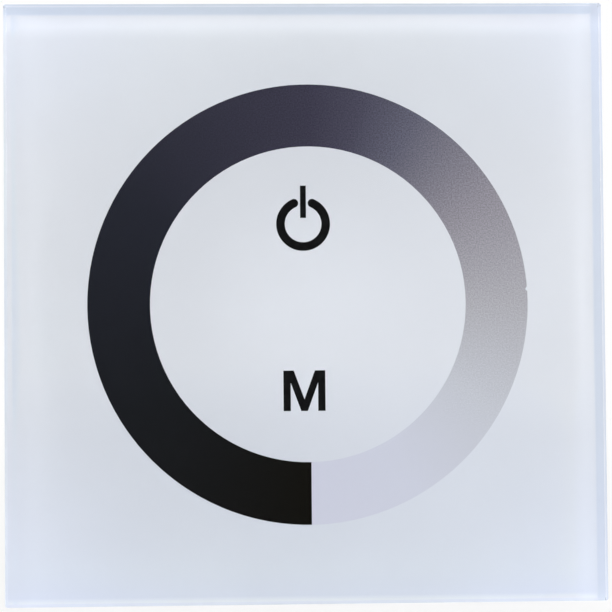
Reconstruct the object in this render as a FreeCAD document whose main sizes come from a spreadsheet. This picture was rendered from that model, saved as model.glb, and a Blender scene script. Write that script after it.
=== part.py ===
import FreeCAD, Part
import os
import Sketcher
from FreeCAD import Placement, Rotation, Vector

# A glass touch dimmer for a square wall box. Every size is in millimetres or degrees.
# X runs to the right and Z up as seen from the room, and the front faces -Y. The wall's
# face is at Y 0, and the part's zero is the middle of the plate that is screwed to it.
# A level is a distance out from the wall: above 0 in the room, below 0 in the wall box.

SIZES = {
    # glass panel and the inks on its back
    "panel_width": 86.0,
    "panel_height": 86.0,
    "panel_thickness": 4.0,
    "panel_bevel": 0.5,
    "panel_corner": 0.3,
    "ink_margin": 0.2,
    "ink_thickness": 0.2,
    "print_thickness": 0.1,
    "ring_outer_radius": 31.8,
    "ring_inner_radius": 22.8,
    # the ring is printed a little right of the panel's centre and below it
    "ring_shift": 0.4,
    "ring_drop": 0.13,
    # power mark above the middle and letter M below it, both a little left of centre
    "mark_shift": 0.25,
    "power_rise": 11.44,
    "power_radius": 3.9,
    "power_stroke": 1.25,
    "power_gap_angle": 47.0,
    "power_bar_width": 0.85,
    "power_bar_rise": 0.87,
    "power_bar_length": 4.68,
    "letter_drop": 12.64,
    "letter_width": 6.05,
    "letter_height": 5.84,
    "letter_stem": 1.05,
    "letter_top": 1.5,
    "letter_foot": 0.95,
    "letter_notch": 1.7,
    # adhesive tapes
    "tape_thickness": 0.3,
    "sensor_tape_margin": 0.5,
    "frame_tape_margin": 0.2,
    # moulded frame behind the glass
    "frame_inset": 0.8,
    "frame_wall": 1.8,
    "frame_corner": 1.0,
    "wall_gap": 0.5,
    "ledge_width": 7.4,
    "frame_window_reach": 2.85,
    "ledge_thickness": 2.3,
    "pry_notch_width": 8.0,
    "pry_notch_depth": 1.5,
    # touch board on the frame's ledge
    "touch_board_clearance": 2.9,
    "touch_board_thickness": 1.2,
    "touch_screw_inset": 2.3,
    "touch_screw_length": 3.0,
    "copper_thickness": 0.1,
    "electrode_count": 12,
    "electrode_gap_angle": 2.0,
    "key_pad_radius": 5.0,
    # spring steel clips
    "clip_spacing": 44.0,
    "clip_width": 8.0,
    "clip_thickness": 0.4,
    "clip_gap": 0.05,
    "clip_hook": 2.45,
    "clip_tail": 1.0,
    "clip_nose": 0.75,
    "clip_nose_level": 1.7,
    "clip_room": 0.35,
    "clip_slot_room": 0.1,
    # mounting plate
    "plate_thickness": 3.0,
    "plate_clearance": 0.65,
    "plate_corner": 1.5,
    "screw_spacing": 60.3,
    "screw_slot_radius": 2.25,
    "screw_slot_length": 8.0,
    "wall_screw_head_radius": 4.1,
    "wall_screw_head_room": 1.0,
    # countersunk M2 screws
    "small_screw_radius": 0.95,
    "small_head_radius": 1.8,
    "small_drive_width": 0.4,
    "small_drive_length": 2.0,
    "small_drive_depth": 0.45,
    "screw_fit": 0.05,
    # tub in the wall box
    "housing_width": 48.0,
    "housing_height": 48.0,
    "housing_depth": 25.0,
    "housing_wall": 1.8,
    "housing_corner": 2.0,
    "housing_clearance": 0.1,
    "flange_width": 44.0,
    "flange_reach": 5.0,
    "flange_thickness": 1.0,
    "housing_screw_spacing": 32.0,
    "housing_screw_length": 3.4,
    "housing_pilot_depth": 2.6,
    "vent_count": 7,
    "vent_spacing": 4.0,
    "vent_width": 1.6,
    "vent_length": 10.0,
    "window_margin": 0.4,
    "post_size": 6.0,
    "post_inset": 3.2,
    "post_pilot_depth": 5.5,
    # power board and its pan head screws
    "board_clearance": 0.4,
    "power_board_thickness": 1.6,
    "pan_screw_radius": 1.2,
    "pan_screw_length": 6.0,
    "pan_head_radius": 2.2,
    "pan_head_height": 1.5,
    "pan_drive_width": 0.5,
    "pan_drive_length": 2.6,
    "pan_drive_depth": 0.7,
    # six-way header and socket between the boards
    "pin_count": 6,
    "pin_spacing": 2.54,
    "pin_width": 0.64,
    "pin_fit": 0.02,
    "pin_engagement": 6.0,
    "pin_hole_radius": 0.5,
    "header_inset": 4.3,
    "header_depth": 2.5,
    "header_base_height": 2.54,
    "socket_height": 8.5,
    "socket_bore": 1.0,
    "mating_gap": 0.06,
    "contact_strip_length": 4.5,
    "contact_strip_thickness": 0.3,
    "contact_leaf_thickness": 0.15,
    "contact_leaf_length": 6.0,
    "solder_tail": 1.2,
    # terminal blocks, and in each pole a screw, a rising clamp and a contact bar
    "terminal_clearance": 1.52,
    "pole_spacing": 5.08,
    "terminal_height": 16.8,
    "terminal_depth": 10.0,
    "terminal_corner": 0.4,
    "screw_turns": 5.0,
    "thread_pitch": 0.5,
    "thread_radius": 1.45,
    "thread_fit": 0.05,
    "terminal_head_radius": 1.9,
    "terminal_head_height": 1.6,
    "terminal_head_fit": 0.1,
    "terminal_slot_width": 0.8,
    "terminal_slot_depth": 0.8,
    "head_recess": 2.2,
    "shoulder_thickness": 0.8,
    "clamp_width": 4.0,
    "clamp_length": 4.6,
    "clamp_side_wall": 0.5,
    "clamp_top_wall": 1.4,
    "clamp_bottom_wall": 0.8,
    "clamp_inside_height": 6.0,
    "clamp_fit": 0.1,
    "clamp_end_room": 0.6,
    "wire_space": 3.4,
    "wire_funnel": 0.3,
    "bar_thickness": 1.0,
    "bar_width": 2.6,
    "bar_fit": 0.1,
    "leg_width": 1.2,
    "leg_thickness": 0.8,
    "leg_offset": 3.0,
    "leg_hole_radius": 0.85,
    # electrolytic capacitors
    "capacitor_lead_radius": 0.3,
    "capacitor_lead_hole": 0.45,
    "bung_height": 1.0,
    "bung_inset": 0.1,
    "crimp_height": 1.3,
    "crimp_depth": 0.3,
    "input_capacitor_side": 10.8,
    "input_capacitor_drop": 8.8,
    "input_capacitor_radius": 4.0,
    "input_capacitor_height": 12.5,
    "input_capacitor_lead_spacing": 3.5,
    "smoothing_capacitor_side": 9.3,
    "smoothing_capacitor_drop": 9.8,
    "smoothing_capacitor_radius": 3.15,
    "smoothing_capacitor_height": 11.5,
    "smoothing_capacitor_lead_spacing": 2.5,
    # choke and fuse
    "inductor_gap": 0.35,
    "inductor_drop": 13.3,
    "inductor_size": 10.0,
    "inductor_height": 4.5,
    "inductor_corner": 2.0,
    "inductor_strip_width": 3.0,
    "inductor_strip_thickness": 0.2,
    "fuse_side": 9.8,
    "fuse_drop": 19.8,
    "fuse_length": 6.4,
    "fuse_cap_length": 1.2,
    "fuse_width": 2.6,
    "fuse_height": 2.5,
    "fuse_inset": 0.15,
    # chips with bent leads
    "lead_width": 0.42,
    "lead_thickness": 0.2,
    "lead_knee": 0.5,
    "lead_reach": 1.1,
    "chip_standoff": 0.1,
    "chip_bevel": 0.2,
    "dimple_radius": 0.4,
    "dimple_depth": 0.1,
    "dimple_inset": 1.0,
    "lead_spacing": 1.27,
    "touch_controller_x": 0.0,
    "touch_controller_z": -4.0,
    "touch_controller_width": 3.9,
    "touch_controller_height": 1.1,
    "touch_controller_lead_count": 8,
    "regulator_x": -14.5,
    "regulator_rise": 25.6,
    "regulator_width": 3.9,
    "regulator_height": 1.4,
    "regulator_lead_count": 4,
    "microcontroller_x": 0.0,
    "microcontroller_rise": 20.3,
    "microcontroller_width": 7.5,
    "microcontroller_height": 2.3,
    "microcontroller_lead_count": 10,
    # power transistors and polarity diode
    "transistor_spacing": 28.0,
    "transistor_rise": 16.2,
    "transistor_width": 6.5,
    "transistor_length": 6.1,
    "transistor_height": 2.3,
    "transistor_tab_width": 5.2,
    "transistor_tab_length": 2.0,
    "transistor_tab_thickness": 0.5,
    "transistor_lead_spacing": 4.6,
    "transistor_lead_width": 0.8,
    "transistor_lead_length": 2.7,
    "diode_x": 14.5,
    "diode_rise": 25.6,
    "diode_length": 4.6,
    "diode_width": 3.6,
    "diode_height": 2.2,
    "diode_lead_length": 0.8,
    "diode_lead_width": 2.1,
    "diode_lead_thickness": 0.3,
    # small ceramic chips in rows
    "small_chip_length": 2.0,
    "small_chip_width": 1.25,
    "small_chip_height": 0.5,
    "small_chip_end": 0.4,
    "small_chip_spacing": 2.8,
    "resistor_count": 8,
    "resistor_rise": 10.6,
    "touch_capacitor_count": 6,
    "touch_capacitor_z": -12.0,
}

doc = FreeCAD.newDocument("touch_dimmer")
sheet = doc.addObject("Spreadsheet::Sheet", "sizes")
for row, (name, value) in enumerate(SIZES.items(), start=1):
    sheet.set(f"A{row}", name)
    sheet.set(f"B{row}", str(value))
    sheet.setAlias(f"B{row}", name)
doc.recompute()

# Levels at which one piece ends and the next begins, from the wall to the front.
BOARD_LEVEL = "(sizes.plate_thickness + sizes.ledge_thickness)"
TAPE_LEVEL = f"({BOARD_LEVEL} + sizes.touch_board_thickness)"
INK_LEVEL = f"({TAPE_LEVEL} + sizes.tape_thickness)"
GLASS_LEVEL = f"({INK_LEVEL} + sizes.ink_thickness)"

# In the wall box, the header and socket between the boards set the power board's level.
SOCKET_MOUTH = f"({BOARD_LEVEL} - sizes.socket_height)"
POWER_FRONT = f"({SOCKET_MOUTH} - sizes.mating_gap - sizes.header_base_height)"
POWER_REAR = f"({POWER_FRONT} - sizes.power_board_thickness)"
FLANGE_LEVEL = "(sizes.plate_thickness + sizes.flange_thickness)"

# Widths and heights that several pieces share.
FRAME_WIDTH = "(sizes.panel_width - 2 * sizes.frame_inset)"
FRAME_HEIGHT = "(sizes.panel_height - 2 * sizes.frame_inset)"
INSIDE_WIDTH = f"({FRAME_WIDTH} - 2 * sizes.frame_wall)"
INSIDE_HEIGHT = f"({FRAME_HEIGHT} - 2 * sizes.frame_wall)"
TOUCH_WIDTH = f"({INSIDE_WIDTH} - 2 * sizes.touch_board_clearance)"
TOUCH_HEIGHT = f"({INSIDE_HEIGHT} - 2 * sizes.touch_board_clearance)"
TOUCH_SCREW_X = f"({TOUCH_WIDTH} - 2 * sizes.touch_screw_inset)"
TOUCH_SCREW_Z = f"({TOUCH_HEIGHT} - 2 * sizes.touch_screw_inset)"
PLATE_WIDTH = f"({INSIDE_WIDTH} - 2 * sizes.plate_clearance)"
PLATE_HEIGHT = f"({INSIDE_HEIGHT} - 2 * sizes.plate_clearance)"
POWER_WIDTH = "(sizes.housing_width - 2 * (sizes.housing_wall + sizes.board_clearance))"
POWER_HEIGHT = "(sizes.housing_height - 2 * (sizes.housing_wall + sizes.board_clearance))"
POST_X = f"({POWER_WIDTH} - 2 * sizes.post_inset)"
POST_Z = f"({POWER_HEIGHT} - 2 * sizes.post_inset)"
FLANGE_SCREW_Z = "(sizes.housing_height + sizes.flange_reach)"

# Places on the power board, from its edges. The tall parts hang from its upper edge, and
# the terminals and the parts on its front stand on its lower edge.
POWER_SIDE = f"({POWER_WIDTH} / 2)"
POWER_TOP = f"({POWER_HEIGHT} / 2)"
HEADER_Z = f"({POWER_TOP} - sizes.header_inset)"
TERMINAL_X = (f"({POST_X} / 2 - sizes.post_size / 2 - sizes.terminal_clearance"
              " - sizes.pole_spacing)")
TERMINAL_Z = f"(sizes.terminal_depth / 2 - {POWER_TOP})"
SMOOTHING_CAPACITOR_X = f"({POWER_SIDE} - sizes.smoothing_capacitor_side)"
PLACES = {
    "input_capacitor": (f"(sizes.input_capacitor_side - {POWER_SIDE})",
                        f"({POWER_TOP} - sizes.input_capacitor_drop)"),
    "smoothing_capacitor": (SMOOTHING_CAPACITOR_X,
                            f"({POWER_TOP} - sizes.smoothing_capacitor_drop)"),
    "inductor": (f"({SMOOTHING_CAPACITOR_X} - sizes.smoothing_capacitor_radius"
                 " - sizes.inductor_gap - sizes.inductor_size / 2)",
                 f"({POWER_TOP} - sizes.inductor_drop)"),
    "fuse": (f"({POWER_SIDE} - sizes.fuse_side)", f"({POWER_TOP} - sizes.fuse_drop)"),
    "regulator": ("sizes.regulator_x", f"(sizes.regulator_rise - {POWER_TOP})"),
    "microcontroller": ("sizes.microcontroller_x",
                        f"(sizes.microcontroller_rise - {POWER_TOP})"),
    "polarity_diode": ("sizes.diode_x", f"(sizes.diode_rise - {POWER_TOP})"),
    "touch_controller": ("sizes.touch_controller_x", "sizes.touch_controller_z"),
}
TRANSISTOR_Z = f"(sizes.transistor_rise - {POWER_TOP})"
RESISTOR_Z = f"(sizes.resistor_rise - {POWER_TOP})"

# Heights inside a terminal pole, from the power board's rear towards the screw's head.
CLAMP_TRAVEL = "(sizes.screw_turns * sizes.thread_pitch)"
CLAMP_HEIGHT = "(sizes.clamp_bottom_wall + sizes.clamp_inside_height + sizes.clamp_top_wall)"
SHOULDER = "(sizes.terminal_height - sizes.head_recess)"
CAVITY_TOP = f"({SHOULDER} - sizes.shoulder_thickness)"
CLAMP_TOP = f"({CAVITY_TOP} - {CLAMP_TRAVEL} - sizes.clamp_fit)"
CLAMP_BOTTOM = f"({CLAMP_TOP} - {CLAMP_HEIGHT})"
WIRE_FLOOR = f"({CLAMP_BOTTOM} + sizes.clamp_bottom_wall)"
BAR_BOTTOM = f"({WIRE_FLOOR} + sizes.wire_space)"
BAR_TOP = f"({BAR_BOTTOM} + sizes.bar_thickness)"

sub_parts = []
cuts = []


def new_body(label, x="0", z="0", level="0", towards_wall=False):
    """Start a sub-part at x, z and a level, built out from there, or in towards the wall."""
    body = doc.addObject("PartDesign::Body", label)
    body.Label = label
    if towards_wall:
        body.Placement = Placement(Vector(0, 0, 0), Rotation(Vector(0, 0, 1), 180))
    body.setExpression("Placement.Base.x", x)
    body.setExpression("Placement.Base.y", f"-({level})")
    body.setExpression("Placement.Base.z", z)
    sub_parts.append(body)
    return body


def origin_feature(body, role):
    """Find one of the body's own origin planes or axes."""
    return next(item for item in body.Origin.OriginFeatures if item.Role == role)


def new_sketch(body, name, level="0", role="XZ_Plane"):
    """Lay a sketch on one of the body's origin planes, moved along that plane's normal."""
    sketch = body.newObject("Sketcher::SketchObject", f"{body.Label}_{name}")
    sketch.AttachmentSupport = [(origin_feature(body, role), "")]
    sketch.MapMode = "FlatFace"
    sketch.setExpression("AttachmentOffset.Base.z", level)
    return sketch


def bind(sketch, kind, places, value):
    """Add one constraint to a sketch and bind it to a size."""
    number = sketch.addConstraint(Sketcher.Constraint(kind, *places, sketch.evalExpression(value)))
    sketch.setExpression(f"Constraints[{number}]", value)


def fix_point(sketch, geometry, end, x, z):
    """Hold one point of a sketch at x, z."""
    bind(sketch, "DistanceX", (-1, 1, geometry, end), x)
    bind(sketch, "DistanceY", (-1, 1, geometry, end), z)


def polygon(sketch, points):
    """Draw a closed outline of straight lines through points given as pairs of sizes."""
    first = sketch.GeometryCount
    count = len(points)
    drawn = [Vector(sketch.evalExpression(x), sketch.evalExpression(z), 0) for x, z in points]
    for number in range(count):
        line = Part.LineSegment(drawn[number], drawn[(number + 1) % count])
        sketch.addGeometry(line, False)
    for number in range(count):
        following = first + (number + 1) % count
        sketch.addConstraint(Sketcher.Constraint("Coincident", first + number, 2, following, 1))
        fix_point(sketch, first + number, 1, *points[number])


def rectangle(sketch, width, height, x="0", z="0"):
    """Draw a rectangle around the point x, z."""
    first = sketch.GeometryCount
    half_width = sketch.evalExpression(width) / 2
    half_height = sketch.evalExpression(height) / 2
    middle = Vector(sketch.evalExpression(x), sketch.evalExpression(z), 0)
    steps = ((-half_width, -half_height), (half_width, -half_height), (half_width, half_height),
             (-half_width, half_height))
    corners = [middle + Vector(*step, 0) for step in steps]
    for number in range(4):
        sketch.addGeometry(Part.LineSegment(corners[number], corners[(number + 1) % 4]), False)
        level_or_upright = "Vertical" if number % 2 else "Horizontal"
        sketch.addConstraint(Sketcher.Constraint(level_or_upright, first + number))
    for number in range(4):
        following = first + (number + 1) % 4
        sketch.addConstraint(Sketcher.Constraint("Coincident", first + number, 2, following, 1))
    bind(sketch, "DistanceX", (first, 1, first, 2), width)
    bind(sketch, "DistanceY", (first + 1, 1, first + 1, 2), height)
    fix_point(sketch, first, 1, f"{x} - ({width}) / 2", f"{z} - ({height}) / 2")


def circle(sketch, radius, x="0", z="0"):
    """Draw a circle around the point x, z."""
    middle = Vector(sketch.evalExpression(x), sketch.evalExpression(z), 0)
    round_line = Part.Circle(middle, Vector(0, 0, 1), sketch.evalExpression(radius))
    number = sketch.addGeometry(round_line, False)
    bind(sketch, "Radius", (number,), radius)
    fix_point(sketch, number, 3, x, z)


def corner_circles(sketch, radius, spacing_x, spacing_z):
    """Draw a circle at each corner of a rectangle around the middle."""
    for side in ("-", ""):
        for end in ("-", ""):
            circle(sketch, radius, f"{side}{spacing_x} / 2", f"{end}{spacing_z} / 2")


def ring_sector(sketch, outer, inner, start, end, x="0", z="0"):
    """Draw part of a flat ring around x, z, between two angles counted from +X."""
    first = sketch.GeometryCount
    middle = Vector(sketch.evalExpression(x), sketch.evalExpression(z), 0)
    angles = [FreeCAD.Units.Quantity(f"{sketch.evalExpression(angle)} deg") for angle in (start, end)]
    angles = [angle.getValueAs("rad").Value for angle in angles]
    for radius in (outer, inner):
        whole = Part.Circle(middle, Vector(0, 0, 1), sketch.evalExpression(radius))
        number = sketch.addGeometry(Part.ArcOfCircle(whole, *angles), False)
        bind(sketch, "Radius", (number,), radius)
        fix_point(sketch, number, 3, x, z)
        for place, angle in ((1, start), (2, end)):
            bind(sketch, "DistanceX", (-1, 1, number, place), f"{x} + {radius} * cos({angle})")
    for place in (1, 2):
        ends = [sketch.getPoint(first + number, place) for number in (0, 1)]
        number = sketch.addGeometry(Part.LineSegment(*ends), False)
        sketch.addConstraint(Sketcher.Constraint("Coincident", first, place, number, 1))
        sketch.addConstraint(Sketcher.Constraint("Coincident", first + 1, place, number, 2))


def slot(sketch, radius, length, x="0", z="0"):
    """Draw a slot with round ends that runs along X around the point x, z."""
    first = sketch.GeometryCount
    reach = f"(({length}) / 2 - {radius})"
    across = sketch.evalExpression(radius)
    left = Vector(sketch.evalExpression(f"{x} - {reach}"), sketch.evalExpression(z), 0)
    right = Vector(sketch.evalExpression(f"{x} + {reach}"), sketch.evalExpression(z), 0)
    quarter = FreeCAD.Units.Quantity("90 deg").getValueAs("rad").Value
    rise = Vector(0, across, 0)
    upright = Vector(0, 0, 1)
    sketch.addGeometry(Part.ArcOfCircle(Part.Circle(left, upright, across), quarter, 3 * quarter), False)
    sketch.addGeometry(Part.LineSegment(left - rise, right - rise), False)
    sketch.addGeometry(Part.ArcOfCircle(Part.Circle(right, upright, across), -quarter, quarter), False)
    sketch.addGeometry(Part.LineSegment(right + rise, left + rise), False)
    for number in range(4):
        following = first + (number + 1) % 4
        sketch.addConstraint(Sketcher.Constraint("Tangent", first + number, 2, following, 1))
    bind(sketch, "Radius", (first,), radius)
    fix_point(sketch, first, 3, f"{x} - {reach}", z)
    fix_point(sketch, first + 2, 3, f"{x} + {reach}", z)


def pad(body, name, sketch, length, symmetric=False):
    """Thicken a sketch along its normal, or equally to both sides."""
    feature = body.newObject("PartDesign::Pad", f"{body.Label}_{name}")
    feature.Profile = sketch
    if symmetric:
        feature.SideType = "Symmetric"
    feature.setExpression("Length", length)
    return feature


def pocket(body, name, sketch, length, along_normal=False):
    """Cut a sketch's outline into the body, against the sketch's normal or along it."""
    feature = body.newObject("PartDesign::Pocket", f"{body.Label}_{name}")
    feature.Profile = sketch
    feature.Reversed = along_normal
    feature.setExpression("Length", length)
    cuts.append(feature)
    return feature


def revolve(body, name, sketch):
    """Turn a sketch once around its own upright axis."""
    feature = body.newObject("PartDesign::Revolution", f"{body.Label}_{name}")
    feature.Profile = sketch
    feature.ReferenceAxis = (sketch, ["V_Axis"])
    return feature


def repeat(body, name, axis, spacing, count, originals=None):
    """Repeat features, or the whole body, in a row along an axis of the body."""
    doc.recompute()
    feature = body.newObject("PartDesign::LinearPattern", f"{body.Label}_{name}")
    if originals:
        feature.Originals = originals
    else:
        feature.TransformMode = "Whole shape"
    feature.Direction = (origin_feature(body, axis), [""])
    feature.Mode = "Spacing"
    feature.setExpression("Offset", spacing)
    feature.setExpression("Occurrences", count)
    body.Tip = feature
    return feature


def mirror(body, name, role):
    """Add the whole body's mirror image across one of its origin planes."""
    doc.recompute()
    feature = body.newObject("PartDesign::Mirrored", f"{body.Label}_{name}")
    feature.TransformMode = "Whole shape"
    feature.MirrorPlane = (origin_feature(body, role), [""])
    body.Tip = feature
    return feature


def edges_where(feature, wanted):
    """Name the edges of a feature whose bounding box passes a test."""
    doc.recompute()
    edges = feature.Shape.Edges
    return [f"Edge{number}" for number, edge in enumerate(edges, 1) if wanted(edge.BoundBox)]


def round_upright_edges(body, base, radius):
    """Round the edges that run straight out from the wall, and a bevel's corner edges."""
    names = edges_where(base, lambda box: abs(box.XLength - box.ZLength) < 0.001)
    feature = body.newObject("PartDesign::Fillet", f"{body.Label}_corners")
    feature.Base = (base, names)
    feature.setExpression("Radius", radius)
    return feature


def bevel_front_edges(body, base, size):
    """Bevel the edges of the face that is furthest out along the body's own normal."""
    doc.recompute()
    front = base.Shape.BoundBox.YMin
    names = edges_where(base, lambda box: box.YMax < front + 0.001)
    feature = body.newObject("PartDesign::Chamfer", f"{body.Label}_bevel")
    feature.Base = (base, names)
    feature.setExpression("Size", size)
    return feature


def countersunk_holes(body, name, sketch):
    """Drill holes for the small countersunk screws where a sketch has its circles."""
    doc.recompute()
    feature = body.newObject("PartDesign::Hole", f"{body.Label}_{name}")
    feature.Profile = sketch
    feature.ThreadType = "None"
    feature.DepthType = "ThroughAll"
    feature.HoleCutType = "Countersink"
    feature.HoleCutCustomValues = True
    feature.HoleCutCountersinkAngle = 90
    feature.setExpression("Diameter", "2 * (sizes.small_screw_radius + sizes.screw_fit)")
    feature.setExpression("HoleCutDiameter", "2 * (sizes.small_head_radius + sizes.screw_fit)")
    cuts.append(feature)
    return feature


def plain_block(label, width, height, thickness, x="0", z="0", level="0", towards_wall=False):
    """Make a sub-part that is one flat block."""
    body = new_body(label, x, z, level, towards_wall)
    sketch = new_sketch(body, "outline")
    rectangle(sketch, width, height)
    block = pad(body, "block", sketch, thickness)
    return body, block


# Glass panel and its prints


def ring_circles(sketch):
    """Draw the dimming ring's two circles."""
    for radius in ("sizes.ring_outer_radius", "sizes.ring_inner_radius"):
        circle(sketch, radius, "sizes.ring_shift", "-sizes.ring_drop")


def power_outlines(body, level):
    """Draw the power mark's open ring, its two round ends and its bar, one sketch each."""
    middle_radius = "(sizes.power_radius - sizes.power_stroke / 2)"
    centre_x = "-sizes.mark_shift"
    open_ring = new_sketch(body, "power_ring", level)
    ring_sector(open_ring, "sizes.power_radius", "(sizes.power_radius - sizes.power_stroke)",
                "90 + sizes.power_gap_angle / 2", "450 - sizes.power_gap_angle / 2",
                centre_x, "sizes.power_rise")
    ends = new_sketch(body, "power_ring_ends", level)
    for side in ("-", "+"):
        circle(ends, "sizes.power_stroke / 2",
               f"{centre_x} {side} {middle_radius} * sin(sizes.power_gap_angle / 2)",
               f"sizes.power_rise + {middle_radius} * cos(sizes.power_gap_angle / 2)")
    bar = new_sketch(body, "power_bar", level)
    rectangle(bar, "sizes.power_bar_width", "sizes.power_bar_length", centre_x,
              "sizes.power_rise + sizes.power_bar_rise + sizes.power_bar_length / 2")
    return open_ring, ends, bar


def letter_outline(body, level):
    """Draw a bold M whose middle comes down to the line it stands on."""
    sketch = new_sketch(body, "letter", level)
    half = "sizes.letter_width / 2"
    top = "sizes.letter_height / 2 - sizes.letter_drop"
    bottom = "-sizes.letter_height / 2 - sizes.letter_drop"
    notch_rise = "(sizes.letter_height - sizes.letter_notch)"
    steepness = f"{notch_rise} / (sizes.letter_width / 2 - sizes.letter_top)"
    stem_run = "(sizes.letter_width / 2 - sizes.letter_stem - sizes.letter_foot / 2)"
    crook = f"{bottom} + {steepness} * {stem_run}"
    right_side = [
        ("sizes.letter_foot / 2", bottom),
        (f"{half} - sizes.letter_stem", crook),
        (f"{half} - sizes.letter_stem", bottom),
        (half, bottom),
        (half, top),
        (f"{half} - sizes.letter_top", top),
    ]
    notch = ("-sizes.mark_shift", f"{bottom} + sizes.letter_notch")
    right = [(f"{x} - sizes.mark_shift", z) for x, z in right_side]
    left = [(f"-({x}) - sizes.mark_shift", z) for x, z in reversed(right_side)]
    polygon(sketch, right + [notch] + left)
    return sketch


def glass_panel():
    """Square of toughened glass with a polished bevel round its front."""
    body, block = plain_block("glass_panel", "sizes.panel_width", "sizes.panel_height",
                              "sizes.panel_thickness", level=GLASS_LEVEL)
    bevel = bevel_front_edges(body, block, "sizes.panel_bevel")
    round_upright_edges(body, bevel, "sizes.panel_corner")


def white_backing():
    """White ink on the back of the glass, thinner where it covers the dark prints."""
    body, block = plain_block("white_backing", "sizes.panel_width - 2 * sizes.ink_margin",
                              "sizes.panel_height - 2 * sizes.ink_margin",
                              "sizes.ink_thickness", level=INK_LEVEL)
    ring = new_sketch(body, "ring", "sizes.ink_thickness")
    ring_circles(ring)
    pocket(body, "ring_recess", ring, "sizes.print_thickness")
    outlines = power_outlines(body, "sizes.ink_thickness")
    for name, outline in zip(("ring", "ends", "bar"), outlines):
        pocket(body, f"power_{name}_recess", outline, "sizes.print_thickness")
    letter = letter_outline(body, "sizes.ink_thickness")
    pocket(body, "letter_recess", letter, "sizes.print_thickness")


def dark_prints():
    """The dimming ring, the power mark and the letter M, printed on the glass itself."""
    level = f"{GLASS_LEVEL} - sizes.print_thickness"
    ring = new_body("dimming_ring", level=level)
    outline = new_sketch(ring, "outline")
    ring_circles(outline)
    pad(ring, "print", outline, "sizes.print_thickness")
    power = new_body("power_mark", level=level)
    for name, outline in zip(("ring", "ends", "bar"), power_outlines(power, "0")):
        pad(power, f"{name}_print", outline, "sizes.print_thickness")
    letter = new_body("mode_mark", level=level)
    pad(letter, "print", letter_outline(letter, "0"), "sizes.print_thickness")


def tapes():
    """Clear sheet between board and glass, and a foam strip along the frame's front."""
    plain_block("sensor_tape", f"{TOUCH_WIDTH} - 2 * sizes.sensor_tape_margin",
                f"{TOUCH_HEIGHT} - 2 * sizes.sensor_tape_margin", "sizes.tape_thickness",
                level=TAPE_LEVEL)
    body = new_body("frame_tape", level=TAPE_LEVEL)
    sketch = new_sketch(body, "outline")
    rectangle(sketch, f"{FRAME_WIDTH} - 2 * sizes.frame_tape_margin",
              f"{FRAME_HEIGHT} - 2 * sizes.frame_tape_margin")
    rectangle(sketch, f"{INSIDE_WIDTH} + 2 * sizes.frame_tape_margin",
              f"{INSIDE_HEIGHT} + 2 * sizes.frame_tape_margin")
    pad(body, "strip", sketch, "sizes.tape_thickness")


# Frame, clips and touch board


def front_frame():
    """Frame whose skirt hides the plate and whose ledge carries the touch board."""
    body, block = plain_block("front_frame", FRAME_WIDTH, FRAME_HEIGHT,
                              f"{TAPE_LEVEL} - sizes.wall_gap", level="sizes.wall_gap")
    round_upright_edges(body, block, "sizes.frame_corner")
    front = f"({TAPE_LEVEL} - sizes.wall_gap)"
    board_seat = new_sketch(body, "board_seat", front)
    rectangle(board_seat, INSIDE_WIDTH, INSIDE_HEIGHT)
    pocket(body, "board_recess", board_seat, "sizes.touch_board_thickness")
    plate_seat = new_sketch(body, "plate_seat")
    rectangle(plate_seat, INSIDE_WIDTH, INSIDE_HEIGHT)
    pocket(body, "plate_recess", plate_seat, "sizes.plate_thickness - sizes.wall_gap",
           along_normal=True)
    window = new_sketch(body, "window", front)
    rectangle(window, "sizes.screw_spacing + 2 * sizes.frame_window_reach",
              f"{INSIDE_HEIGHT} - 2 * sizes.ledge_width")
    pocket(body, "window_cut", window, front)
    heads = new_sketch(body, "head_room", front)
    room = "(sizes.wall_screw_head_radius + sizes.wall_screw_head_room)"
    slot_reach = "(sizes.screw_slot_length / 2 - sizes.screw_slot_radius)"
    rectangle(heads, f"sizes.screw_spacing + 2 * ({slot_reach} + sizes.wall_screw_head_radius)",
              f"2 * {room}")
    pocket(body, "head_cut", heads, front)
    slots = new_sketch(body, "clip_slots", front)
    depth = "(sizes.clip_gap + sizes.clip_thickness + sizes.clip_slot_room)"
    for side in ("-", ""):
        for end in ("-", ""):
            rectangle(slots, "sizes.clip_width + 2 * sizes.clip_slot_room", depth,
                      f"{side}sizes.clip_spacing / 2", f"{end}({INSIDE_HEIGHT} - {depth}) / 2")
    pocket(body, "clip_slot_cuts", slots, front)
    pilots = new_sketch(body, "screw_pilots", front)
    corner_circles(pilots, "(sizes.small_screw_radius + sizes.screw_fit)",
                   TOUCH_SCREW_X, TOUCH_SCREW_Z)
    pocket(body, "screw_pilot_cuts", pilots, front)
    notch = new_sketch(body, "pry_notch")
    rectangle(notch, "sizes.pry_notch_width", "sizes.frame_wall",
              "0", f"(sizes.frame_wall - {FRAME_HEIGHT}) / 2")
    pocket(body, "pry_notch_cut", notch, "sizes.pry_notch_depth", along_normal=True)


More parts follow.
